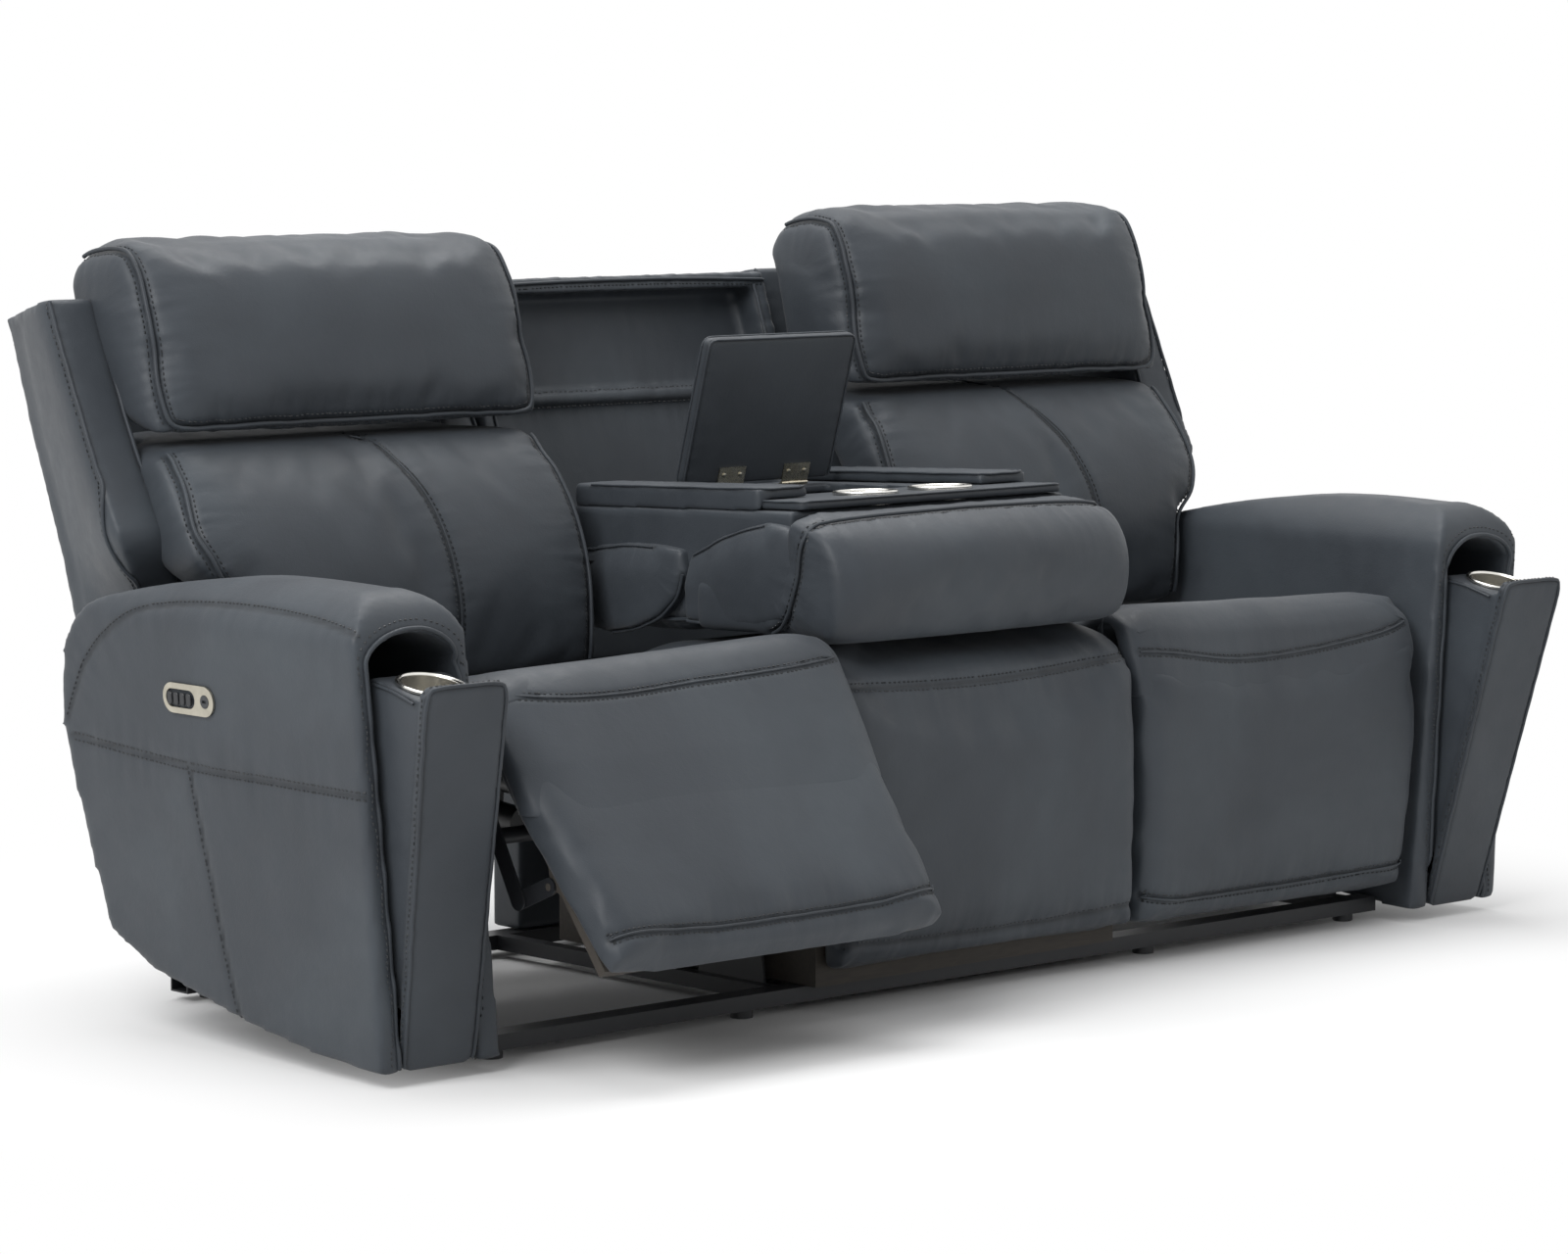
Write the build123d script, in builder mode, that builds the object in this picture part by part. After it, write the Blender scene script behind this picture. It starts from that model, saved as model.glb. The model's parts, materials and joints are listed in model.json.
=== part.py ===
from build123d import *
import os
from math import cos, hypot, radians, sin

# Three-seat power reclining sofa with a fold-down centre console.
# Frame: +X to the sitter's left as seen from the front, +Y to the back, +Z up, floor at z = 0.
# Depths below are measured behind the arm fronts, heights above the floor, all in millimetres.
# Sides are s = -1 for the left of the picture and s = +1 for the right.

front = -364.4                 # y of the arm fronts, so that the origin is under the middle
sides = (("left", -1), ("right", 1))

# Outer seats, given in their closed place and carried from there by the turns below.
seat_inner, seat_outer = 313.0, 899.0      # footrest and board, from the centre line
cushion_inner, cushion_outer = 309.0, 925.0
swing_centre = (260.0, 1100.0)             # virtual centre that the seat carriage swings about
seat_swing = {"left": 2.87, "right": 0.0}  # degrees forward in the photographed pose
footrest_hinge = (44.0, 402.0)
footrest_open = {"left": 34.9, "right": 0.0}
recline_pivot = (768.0, 400.0)
plate_thick = 3.0                          # stamped steel plates and links
pin_r = 5.0
run_clear = 0.05                           # radial clearance of a running pin
open_clear = 0.4                           # radial clearance of the open pivot

# Footrest parallelogram: hinge H, crank pivot G, footrest pin F, coupler pin E = F + G - H.
crank_pivot = (104.0, 380.0)
footrest_pin = (72.0, 220.0)
coupler_pin = (footrest_pin[0] + crank_pivot[0] - footrest_hinge[0],
               footrest_pin[1] + crank_pivot[1] - footrest_hinge[1])

# Arms, which lean outwards.
arm_front_y, arm_length = -14.0, 671.0
arm_bottom = 18.0
door_hinge = (4.0, 26.0)
door_tilt = 12.8                           # degrees that the arm doors stand open

# Centre seat and console.
centre_half = 303.0
console_half = 275.0
console_pivot = (513.0, 580.0)
console_droop = 2.4                        # the folded console falls this much to the back
lid_open = 72.0                            # degrees between the lid and the deck
deck_top, deck_thick = 117.0, 14.0         # above the console pivot
cup_r, cup_flange_r, cup_depth = 41.0, 47.0, 66.0
cup_x, cup_u = 75.0, -336.0                # cup centres, u measured behind the console pivot
lid_half, lid_length, lid_thick = 149.0, 229.0, 20.0
lid_hinge_u = -22.0


def turned(point, pivot, degrees):
    """A (depth, height) point after leaning back about the pivot."""
    c, s = cos(radians(degrees)), sin(radians(degrees))
    y, z = point[0] - pivot[0], point[1] - pivot[1]
    return (pivot[0] + y * c + z * s, pivot[1] - y * s + z * c)


def carried(turns):
    """Where the turns take the drawing's origin, and its depth direction."""
    origin, ahead = (0.0, 0.0), (1.0, 0.0)
    for pivot, degrees in turns:
        origin = turned(origin, pivot, degrees)
        ahead = turned(ahead, pivot, degrees)
    return origin, (ahead[0] - origin[0], ahead[1] - origin[1])


def side_plane(x, turns=()):
    """Upright plane at x, facing +X, drawn in (depth, height)."""
    origin, ahead = carried(turns)
    return Plane(origin=(x, front + origin[0], origin[1]), x_dir=(0, ahead[0], ahead[1]), z_dir=(1, 0, 0))


def front_plane(depth, turns=()):
    """Upright plane facing the front, drawn in (x, height)."""
    origin, ahead = carried(turns)
    start = (front + origin[0] + depth * ahead[0], origin[1] + depth * ahead[1])
    return Plane(origin=(0, start[0], start[1]), x_dir=(1, 0, 0), z_dir=(0, -ahead[0], -ahead[1]))


def level_plane(height, turns=()):
    """Plane facing up at a height, drawn in (x, depth)."""
    origin, ahead = carried(turns)
    start = (front + origin[0] - height * ahead[1], origin[1] + height * ahead[0])
    return Plane(origin=(0, start[0], start[1]), x_dir=(1, 0, 0), z_dir=(0, -ahead[1], ahead[0]))


def span(s, inner, outer):
    """Lowest x and width of a piece that lies from inner to outer on side s."""
    return min(s * inner, s * outer), outer - inner


def padded_section(plane, corners, bulges, swell=1.0, draw=0.0):
    """Closed outline of one arc per side; swell scales the crown, draw pulls the corners in."""
    middle = (sum(p[0] for p in corners) / len(corners), sum(p[1] for p in corners) / len(corners))
    points = []
    for p in corners:
        reach = hypot(p[0] - middle[0], p[1] - middle[1])
        keep = 1 - draw / reach
        points.append((middle[0] + (p[0] - middle[0]) * keep, middle[1] + (p[1] - middle[1]) * keep))
    with BuildSketch(plane) as section:
        with BuildLine():
            for i, p in enumerate(points):
                q = points[(i + 1) % len(points)]
                length = hypot(q[0] - p[0], q[1] - p[1])
                bulge = bulges[i] * swell
                out = ((q[1] - p[1]) / length * bulge, -(q[0] - p[0]) / length * bulge)
                ThreePointArc(p, ((p[0] + q[0]) / 2 + out[0], (p[1] + q[1]) / 2 + out[1]), q)
        make_face()
    return section.sketch


def padded_sections(x_low, width, corners, bulges, turns=(), crown=1.3, draw=9.0):
    """Five sections across a cushion: its ends are drawn in and its middle is crowned."""
    places = ((0.0, 0.7, draw), (0.07, 1.0, draw * 0.15), (0.5, crown, 0.0), (0.93, 1.0, draw * 0.15),
              (1.0, 0.7, draw))
    return [padded_section(side_plane(x_low + width * at, turns), corners, bulges, swell, pull)
            for at, swell, pull in places]


def save(name, piece):
    piece.part.label = name
    export_step(piece.part, f"parts/{name}.step")


os.makedirs("parts", exist_ok=True)

# ---------------------------------------------------------------- base
rail_low, rail_high = 12.0, 34.0
rail_depth = 40.0
front_rail_y, rear_rail_y = 60.0, 690.0
rail_half = 914.0
side_rail_x = (324.0, 889.4)               # faces that carry the track plates
side_rail_width = 22.0

with BuildPart() as base_cross_rails:
    for y in (front_rail_y, rear_rail_y):
        with BuildSketch(side_plane(-rail_half)):
            with Locations((y + rail_depth / 2, (rail_low + rail_high) / 2)):
                Rectangle(rail_depth, rail_high - rail_low)
                Rectangle(rail_depth - 5, rail_high - rail_low - 5, mode=Mode.SUBTRACT)
        extrude(amount=2 * rail_half)
save("base_cross_rails", base_cross_rails)

# Rollers on the seat frames run in curved slots of the track plates.
roller_r, slot_r = 8.0, 8.6
roller_points = ((205.0, 150.0), (415.0, 150.0))
track_thick = 4.0
track_travel = (-0.6, 3.6)                 # degrees of seat swing
arm_brackets = ((275.0, 72.0, 122.0), (515.0, 152.0, 192.0))    # depth, lowest and highest contact
bracket_width = 42.0


def arm_inner(height):
    """Inner face of the leaning arms at a height, from the centre line."""
    return 914.0 + (height - arm_bottom) * (971.0 - 914.0) / (588.0 - arm_bottom)


def track_slot(point):
    """Arc that a roller follows, with a little over-travel."""
    angles = (track_travel[0], sum(track_travel) / 2, track_travel[1])
    return ThreePointArc(*[turned(point, swing_centre, a) for a in angles])


track_slots = [track_slot(point) for point in roller_points]

with BuildPart() as base_side_rails:
    for name, s in sides:
        for x, inward in ((side_rail_x[0], 1), (side_rail_x[1], -1)):
            x_low, width = span(s, min(x, x + inward * side_rail_width), max(x, x + inward * side_rail_width))
            with BuildSketch(side_plane(x_low)):
                with Locations(((front_rail_y + rail_depth + rear_rail_y) / 2, (rail_low + rail_high) / 2)):
                    Rectangle(rear_rail_y - front_rail_y - rail_depth, rail_high - rail_low)
            extrude(amount=width)
            x_low, width = span(s, min(x, x + inward * track_thick), max(x, x + inward * track_thick))
            for point, slot in zip(roller_points, track_slots):
                with BuildSketch(side_plane(x_low)):
                    with BuildLine():
                        Polyline((point[0] - 85, rail_high), (point[0] - 65, 178), (point[0] + 35, 178),
                                 (point[0] + 55, rail_high), close=True)
                    make_face()
                    SlotArc(slot, 2 * slot_r, mode=Mode.SUBTRACT)
                extrude(amount=width)
        for y, low, high in arm_brackets:
            reach = [arm_inner(z) for z in (low, high)]
            with BuildSketch(front_plane(y)):
                with BuildLine():
                    Polyline((s * 868, rail_high), (s * 894, rail_high), (s * reach[0], low),
                             (s * reach[1], high), (s * 906, high), (s * 868, 52), close=True)
                make_face()
            extrude(amount=-bracket_width)
save("base_side_rails", base_side_rails)

glide_r = 16.0
glide_places = [(s * x, y) for s in (-1, 1) for x in (407.0, 859.0) for y in (80.0, 710.0)]
with BuildPart() as floor_glides:
    with BuildSketch(Plane.XY):
        with Locations(*[(x, front + y) for x, y in glide_places]):
            Circle(glide_r)
    extrude(amount=rail_low)
    chamfer(floor_glides.faces().sort_by(Axis.Z)[0].edges(), 1.5)
save("floor_glides", floor_glides)

# ---------------------------------------------------------------- arms, doors and controls
pocket_depth = 330.0
rebate_depth = 26.0                        # the door closes into a rebate at the pocket's foot
door_pin_r, door_pins = 3.0, (946.0, 1093.0)     # the door turns on pins at both ends of its foot


def arm_front_outline(s):
    """Front view of an arm: flat foot, leaning sides and a crowned top."""
    Polyline((s * 971, 588), (s * 914, arm_bottom), (s * 1117, arm_bottom), (s * 1160, 584))
    ThreePointArc((s * 1160, 584), (s * 1066, 652), (s * 971, 588))


def pocket_outline(s):
    """Front view of the storage pocket in an arm."""
    Polyline((s * 991, 561), (s * 959, 72), (s * 1088, 72), (s * 1136, 561))
    ThreePointArc((s * 1136, 561), (s * 1064, 592), (s * 991, 561))


for side, s in sides:
    arm_low, arm_width = span(s, 900.0, 1180.0)
    with BuildPart() as arm:
        with BuildSketch(front_plane(arm_front_y)) as arm_front:
            with BuildLine():
                arm_front_outline(s)
            make_face()
        extrude(amount=-arm_length)
        with BuildSketch(side_plane(arm_low)):
            with BuildLine():
                ThreePointArc((-14, 586), (8, 630), (70, 645))
                ThreePointArc((70, 645), (330, 643), (566, 603))
                ThreePointArc((566, 603), (622, 560), (650, 500))
                Polyline((650, 500), (657, 420), (625, 292), (580, 145), (491, 98), (277, 50), (120, 27),
                         (-14, arm_bottom), (-14, 586))
            make_face()
        extrude(amount=arm_width, mode=Mode.INTERSECT)
        with BuildSketch(front_plane(arm_front_y - 1)):
            with BuildLine():
                pocket_outline(s)
            make_face()
        extrude(amount=-(pocket_depth - arm_front_y), mode=Mode.SUBTRACT)
        with BuildSketch(front_plane(arm_front_y - 1)):
            with BuildLine():
                Polyline((s * 954, arm_bottom - 1), (s * 1084, arm_bottom - 1), (s * 1090, 80), (s * 961, 80),
                         close=True)
            make_face()
        extrude(amount=-rebate_depth, mode=Mode.SUBTRACT)
        pin_low, pin_width = span(s, door_pins[0] - run_clear, door_pins[1] + run_clear)
        with BuildSketch(side_plane(pin_low)):
            with Locations(door_hinge):
                Circle(door_pin_r + run_clear)
        extrude(amount=pin_width, mode=Mode.SUBTRACT)
    save(f"arm_{side}", arm)

with BuildPart() as pocket_rails:
    for side, s in sides:
        rail_x, rail_width = span(s, 991.0, 1134.4)
        with BuildSketch(side_plane(rail_x)):
            with Locations((160.0, 554.0)):
                Circle(5.0)
        extrude(amount=rail_width)
save("pocket_rails", pocket_rails)

# Each door is an upholstered slab with a padded cup box behind it.
door_back, door_front = 6.0, -12.0
bin_top, bin_deep = 527.0, 112.0
door_cup_place = (1062.0, 62.0)

for side, s in sides:
    door_turn = ((door_hinge, -door_tilt),)
    with BuildPart() as door_panel:
        with BuildSketch(front_plane(door_back, door_turn)):
            with BuildLine():
                Polyline((s * 959, 22), (s * 1080, 22), (s * 1132, 552), (s * 995, 552), close=True)
            make_face()
            fillet(vertices().group_by(Axis.Z)[-1], 16)
        extrude(amount=door_back - door_front)
        chamfer(door_panel.faces().sort_by(Axis.Y)[0].edges(), 3)
        for inner, outer in ((door_pins[0], 962.0), (1078.0, door_pins[1])):
            pin_low, pin_width = span(s, inner, outer)
            with BuildSketch(side_plane(pin_low, door_turn)):
                with Locations(door_hinge):
                    Circle(door_pin_r)
            extrude(amount=pin_width)
    save(f"door_panel_{side}", door_panel)

    with BuildPart() as door_bin:
        with BuildSketch(front_plane(door_back, door_turn)):
            with BuildLine():
                Polyline((s * 970, 100), (s * 1080, 100), (s * 1122, bin_top), (s * 998, bin_top), close=True)
            make_face()
        extrude(amount=-bin_deep)
        bin_low, bin_width = span(s, 900.0, 1180.0)
        with BuildSketch(side_plane(bin_low, door_turn)):
            with BuildLine():
                Polyline((door_back, 100), (60, 100), (door_back + bin_deep, 300),
                         (door_back + bin_deep, bin_top), (door_back, bin_top), close=True)
            make_face()
        extrude(amount=bin_width, mode=Mode.INTERSECT)
        with BuildSketch(level_plane(bin_top - cup_depth - 2, door_turn)):
            with Locations((s * door_cup_place[0], door_cup_place[1])):
                Circle(cup_r + 0.5)
        extrude(amount=cup_depth + 10, mode=Mode.SUBTRACT)
    save(f"door_bin_{side}", door_bin)

    with BuildPart() as door_cup:
        with BuildSketch(level_plane(bin_top, door_turn)):
            with Locations((s * door_cup_place[0], door_cup_place[1])):
                Circle(cup_flange_r)
        extrude(amount=2)
        with BuildSketch(level_plane(bin_top - cup_depth, door_turn)):
            with Locations((s * door_cup_place[0], door_cup_place[1])):
                Circle(cup_r)
        extrude(amount=cup_depth)
        with BuildSketch(level_plane(bin_top - cup_depth + 1.5, door_turn)):
            with Locations((s * door_cup_place[0], door_cup_place[1])):
                Circle(cup_r - 1.5)
        extrude(amount=cup_depth + 5, mode=Mode.SUBTRACT)
    save(f"door_cup_{side}", door_cup)

# Control plates lie on the leaning outer face of each arm, near the front.
plate_mid = (350.0, 482.0)
plate_size = (112.0, 41.0)
plate_proud = 3.0
button_pitch, button_size = 14.0, (10.0, 17.0)
button_travel_room = 3.0
socket_offset = -37.0
arm_lean = (1160.0 - 1117.0) / (584.0 - arm_bottom)
plate_x = 1117.0 + arm_lean * (plate_mid[1] - arm_bottom)
buttons_centre = 17.0


def plate_plane(s, proud=0.0):
    """Plane on the arm's outer face at the control plate, facing outwards, drawn in (depth, up)."""
    length = hypot(1, arm_lean)
    out = (s / length, 0, -arm_lean / length)
    origin = (s * plate_x + out[0] * proud, front + plate_mid[0], plate_mid[1] + out[2] * proud)
    return Plane(origin=origin, x_dir=(0, 1, 0), z_dir=out)


with BuildPart() as control_plates:
    for side, s in sides:
        with BuildSketch(plate_plane(s)):
            SlotOverall(*plate_size)
            with Locations((buttons_centre, 0)):
                SlotOverall(4 * button_pitch + 8, button_size[1] + 8, mode=Mode.SUBTRACT)
            with Locations((socket_offset, 0)):
                Circle(9.3, mode=Mode.SUBTRACT)
        extrude(amount=plate_proud)
save("control_plates", control_plates)

with BuildPart() as usb_sockets:
    for side, s in sides:
        with BuildSketch(plate_plane(s)):
            with Locations((socket_offset, 0)):
                Circle(9.0)
        extrude(amount=plate_proud + 0.5)
        with BuildSketch(plate_plane(s, 1.0)):
            with Locations((socket_offset, 0)):
                Rectangle(9, 4)
        extrude(amount=plate_proud, mode=Mode.SUBTRACT)
save("usb_sockets", usb_sockets)

for side, s in sides:
    for number in range(4):
        along = buttons_centre + (number - 1.5) * button_pitch
        with BuildPart() as button:
            with BuildSketch(plate_plane(s, button_travel_room)):
                with Locations((along, 0)):
                    RectangleRounded(button_size[0], button_size[1], 4.0)
            extrude(amount=3.0)
            chamfer(button.faces().sort_by(Axis.X)[-1 if s > 0 else 0].edges(), 0.8)
        save(f"power_button_{side}_{number + 1}", button)

# ---------------------------------------------------------------- centre seat
with BuildPart() as centre_seat_box:
    box_front, box_rear, box_low, box_high, board = 42.0, 600.0, rail_high, 402.0, 18.0
    with BuildSketch(side_plane(-centre_half + 2)):
        with Locations(((box_front + box_rear) / 2, (box_low + box_high) / 2)):
            Rectangle(box_rear - box_front, box_high - box_low)
    extrude(amount=2 * centre_half - 4)
    with BuildSketch(side_plane(-centre_half + 2 + board)):
        with Locations(((box_front + box_rear) / 2, (box_low + box_high) / 2 - board)):
            Rectangle(box_rear - box_front - 2 * board, box_high - box_low)
    extrude(amount=2 * centre_half - 4 - 2 * board, mode=Mode.SUBTRACT)
    with BuildSketch(side_plane(-centre_half)):
        with Locations((front_rail_y + rail_depth / 2, 0)):
            Rectangle(rail_depth + 2, 2 * rail_high + 1)
    extrude(amount=2 * centre_half, mode=Mode.SUBTRACT)
save("centre_seat_box", centre_seat_box)

with BuildPart() as centre_front_panel:
    loft(sections=padded_sections(
        -centre_half, 2 * centre_half, [(-8, 52), (40.8, 50), (40.8, 455), (-6, 455)], [1, 0.3, 0.3, 9],
        draw=8), ruled=True)
save("centre_front_panel", centre_front_panel)

with BuildPart() as centre_seat_cushion:
    loft(sections=padded_sections(
        -centre_half, 2 * centre_half,
        [(-6, 459), (46, 459), (50, 405), (440, 405), (440, 480), (60, 502)],
        [0.3, 0.3, 0.3, 2, 3, 10]), ruled=True)
save("centre_seat_cushion", centre_seat_cushion)

# ---------------------------------------------------------------- centre back
stile = 30.0
frame_half, foot_half = 318.0, 300.0
frame_front_low, frame_front_high = (620.0, 430.0), (831.0, 1005.0)
frame_depth = 74.0


def frame_line(height, behind=0.0):
    """Depth of the centre back's leaning front face at a height, plus a distance behind it."""
    slope = (frame_front_high[0] - frame_front_low[0]) / (frame_front_high[1] - frame_front_low[1])
    return (frame_front_low[0] + (height - frame_front_low[1]) * slope + behind, height)


with BuildPart() as centre_back_frame:
    with BuildSketch(side_plane(-frame_half)):
        with BuildLine():
            Polyline(frame_line(432), frame_front_high, frame_line(1000, frame_depth),
                     frame_line(560, frame_depth + 30), (760, 432), close=True)
        make_face()
    extrude(amount=2 * frame_half)
    with BuildSketch(side_plane(-foot_half)):
        with Locations((726, (432 + rail_high) / 2)):
            Rectangle(68, 432 - rail_high)
    extrude(amount=2 * foot_half)
    with BuildSketch(side_plane(-frame_half + stile)):
        with BuildLine():
            Polyline(frame_line(420, -40), frame_line(420, 52), frame_line(812, 52), frame_line(812, 40),
                     frame_line(830, 40), frame_line(834, 56), frame_line(978, 56), frame_line(982, -40),
                     close=True)
        make_face()
    extrude(amount=2 * (frame_half - stile), mode=Mode.SUBTRACT)
save("centre_back_frame", centre_back_frame)

bracket_x = 284.0
bracket_thick = 4.0
pivot_r = 9.0
with BuildPart() as console_brackets:
    for side, s in sides:
        x_low, width = span(s, bracket_x, bracket_x + bracket_thick)
        with BuildSketch(side_plane(x_low)):
            with BuildLine():
                Polyline((500, 556), frame_line(500, 51.5), frame_line(600, 51.5), (530, 602), (500, 600),
                         close=True)
            make_face()
            with Locations(console_pivot):
                Circle(26)
        extrude(amount=width)
        x_low, width = span(s, console_half - 20, bracket_x + bracket_thick)
        with BuildSketch(side_plane(x_low)):
            with Locations(console_pivot):
                Circle(pivot_r)
        extrude(amount=width)
save("console_brackets", console_brackets)

# ---------------------------------------------------------------- console, drawn about its pivot
px, pz = console_pivot
console_turn = ((console_pivot, console_droop),)
base_low = 35.5
bin_half, bin_front_u, bin_rear_u = 128.0, -240.0, -38.0
bin_floor = 52.0

with BuildPart() as console_base:
    with BuildSketch(side_plane(-console_half, console_turn)):
        with BuildLine():
            Polyline((px - 388, pz + base_low), (px + 34, pz + base_low - 61.5), (px + 70, pz - 20),
                     (px + 84, pz + 60), (px + 84, pz + deck_top - deck_thick),
                     (px - 396, pz + deck_top - deck_thick), close=True)
        make_face()
    extrude(amount=2 * console_half)
    with BuildSketch(level_plane(pz + bin_floor, console_turn)):
        with Locations((0, px + (bin_front_u + bin_rear_u) / 2)):
            Rectangle(2 * bin_half, bin_rear_u - bin_front_u)
    extrude(amount=deck_top, mode=Mode.SUBTRACT)
    with BuildSketch(level_plane(pz + deck_top - cup_depth - 2, console_turn)):
        with Locations((-cup_x, px + cup_u), (cup_x, px + cup_u)):
            Circle(cup_r + 0.5)
    extrude(amount=deck_top, mode=Mode.SUBTRACT)
    with BuildSketch(side_plane(-console_half - 1)):
        with Locations(console_pivot):
            Circle(pivot_r + run_clear)
    extrude(amount=2 * console_half + 2, mode=Mode.SUBTRACT)
save("console_base", console_base)

with BuildPart() as console_deck:
    with BuildSketch(level_plane(pz + deck_top - deck_thick, console_turn)):
        with Locations((0, px + (-405 + 84) / 2)):
            RectangleRounded(524, 489, 12)
        with Locations((0, px + (bin_front_u + bin_rear_u) / 2)):
            Rectangle(2 * bin_half, bin_rear_u - bin_front_u, mode=Mode.SUBTRACT)
        with Locations((-cup_x, px + cup_u), (cup_x, px + cup_u)):
            Circle(cup_r + 0.5, mode=Mode.SUBTRACT)
    extrude(amount=deck_thick)
save("console_deck", console_deck)

with BuildPart() as console_pads:
    for side, s in sides:
        x_low, width = span(s, 172.0, 262.0)
        with BuildSketch(level_plane(pz + deck_top, console_turn)):
            with Locations((x_low + width / 2, px + (-322 + 84) / 2)):
                RectangleRounded(width, 406, 8)
        extrude(amount=18)
    deck_up = Axis((0, 0, 0), level_plane(0, console_turn).z_dir)
    fillet(console_pads.faces().group_by(deck_up)[-1].edges(), 5)
save("console_pads", console_pads)

with BuildPart() as console_pillow:
    loft(sections=padded_sections(
        -285, 570, [(px - 502, pz - 73), (px - 194, pz - 75), (px - 194, pz + 3), (px - 392, pz + 29),
                    (px - 402, pz + 83), (px - 476, pz + 68)],
        [3, 0.3, 0.3, 0.3, 2, 42], console_turn, draw=10), ruled=True)
save("console_pillow", console_pillow)

with BuildPart() as console_lumbar_pad:
    loft(sections=padded_sections(
        -278, 556, [(px - 185, pz - 66), (px + 16, pz - 62), (px + 31, pz - 28), (px - 185, pz + 4)],
        [6, 2, 0.3, 0.3], console_turn, draw=8), ruled=True)
save("console_lumbar_pad", console_lumbar_pad)

with BuildPart() as console_cups:
    for x in (-cup_x, cup_x):
        with BuildSketch(level_plane(pz + deck_top, console_turn)):
            with Locations((x, px + cup_u)):
                Circle(cup_flange_r)
        extrude(amount=2)
        with BuildSketch(level_plane(pz + deck_top - cup_depth, console_turn)):
            with Locations((x, px + cup_u)):
                Circle(cup_r)
        extrude(amount=cup_depth)
        with BuildSketch(level_plane(pz + deck_top - cup_depth + 1.5, console_turn)):
            with Locations((x, px + cup_u)):
                Circle(cup_r - 1.5)
        extrude(amount=cup_depth + 5, mode=Mode.SUBTRACT)
save("console_cups", console_cups)

# The lid hinges at the rear of the storage bin.
lid_pivot = (px + lid_hinge_u, pz + deck_top + 3.6)
lid_turn = ((lid_pivot, lid_open), (console_pivot, console_droop))
with BuildPart() as console_lid:
    with BuildSketch(level_plane(lid_pivot[1] + 1.0, lid_turn)):
        with Locations((0, lid_pivot[0] - 3 - lid_length / 2)):
            RectangleRounded(2 * lid_half, lid_length, 10)
    extrude(amount=lid_thick)
    fillet(console_lid.faces().sort_by(Axis.Y)[-1].edges(), 5)
save("console_lid", console_lid)

hinge_places = (-56.0, 74.0)
knuckle_r, hinge_pin_r, middle_knuckle = 3.2, 1.6, 24.0
leaf_half, leaf_reach, leaf_thick = 26.0, 27.0, 1.8
with BuildPart() as lid_hinge_leaves:
    for x in hinge_places:
        with BuildSketch(side_plane(x - leaf_half, lid_turn)):
            with Locations((lid_pivot[0] - knuckle_r - 0.6 - leaf_reach / 2, lid_pivot[1])):
                Rectangle(leaf_reach, leaf_thick)
        extrude(amount=2 * leaf_half)
        with BuildSketch(side_plane(x - middle_knuckle / 2, lid_turn)):
            with Locations((lid_pivot[0] - knuckle_r, lid_pivot[1])):
                Rectangle(2.4, leaf_thick)
            with Locations(lid_pivot):
                Circle(knuckle_r)
                Circle(hinge_pin_r, mode=Mode.SUBTRACT)
        extrude(amount=middle_knuckle)
save("lid_hinge_leaves", lid_hinge_leaves)

with BuildPart() as console_hinge_leaves:
    for x in hinge_places:
        with BuildSketch(side_plane(x - leaf_half, console_turn)):
            with Locations((lid_pivot[0] + 14, pz + deck_top + leaf_thick / 2)):
                Rectangle(20, leaf_thick)
        extrude(amount=2 * leaf_half)
        outer_knuckle = leaf_half - middle_knuckle / 2 - 0.5
        for start in (x - leaf_half, x + leaf_half - outer_knuckle):
            with BuildSketch(side_plane(start, console_turn)):
                with BuildLine():
                    Polyline((lid_pivot[0], pz + deck_top), (lid_pivot[0] + 5, pz + deck_top),
                             (lid_pivot[0] + 5, lid_pivot[1]), (lid_pivot[0], lid_pivot[1]), close=True)
                make_face()
                with Locations(lid_pivot):
                    Circle(knuckle_r - 0.2)
            extrude(amount=outer_knuckle)
        with BuildSketch(side_plane(x - leaf_half, console_turn)):
            with Locations(lid_pivot):
                Circle(hinge_pin_r - run_clear)
        extrude(amount=2 * leaf_half)
save("console_hinge_leaves", console_hinge_leaves)

# ---------------------------------------------------------------- outer seats
plate_inner_x, plate_outer_x = 309.4, 901.0
board_x, crank_x, coupler_x, lug_x = 316.0, 317.0, 321.0, 325.0


def both_plates(offset):
    """Lower x, measured from the centre line, of a plate on each side of a seat at this offset."""
    return (offset, plate_inner_x + plate_outer_x + plate_thick - offset - plate_thick)


def rear_line(height, ahead=0.0):
    """Depth of the outer back's rear face at a height, less a distance towards the front."""
    knots = ((340.0, 776.0), (510.0, 826.0), (660.0, 868.5), (843.0, 933.5), (990.0, 975.0))
    for (low, y_low), (high, y_high) in zip(knots, knots[1:]):
        if height <= high:
            return (y_low + (height - low) * (y_high - y_low) / (high - low) - ahead, height)
    return (knots[-1][1] - ahead, height)


# Linear drive, from its tail on the seat frame to the rod that pushes the torque tube.
rod_tail, rod_tip = (470.0, 340.0), (142.0, 293.0)
rod_per_degree = 1.2
drive_x = 606.0
drive_length = hypot(rod_tip[0] - rod_tail[0], rod_tip[1] - rod_tail[1])
drive_way = ((rod_tip[0] - rod_tail[0]) / drive_length, (rod_tip[1] - rod_tail[1]) / drive_length)


def drive_plane(s, along, turns):
    """Plane across the drive's axis, along mm from its tail, facing the rod's tip."""
    origin, ahead = carried(turns)
    u, v = rod_tail[0] + drive_way[0] * along, rod_tail[1] + drive_way[1] * along
    place = (origin[0] + u * ahead[0] - v * ahead[1], origin[1] + u * ahead[1] + v * ahead[0])
    way = (drive_way[0] * ahead[0] - drive_way[1] * ahead[1],
           drive_way[0] * ahead[1] + drive_way[1] * ahead[0])
    return Plane(origin=(s * drive_x, front + place[0], place[1]), x_dir=(1, 0, 0),
                 z_dir=(0, way[0], way[1]))


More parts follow.
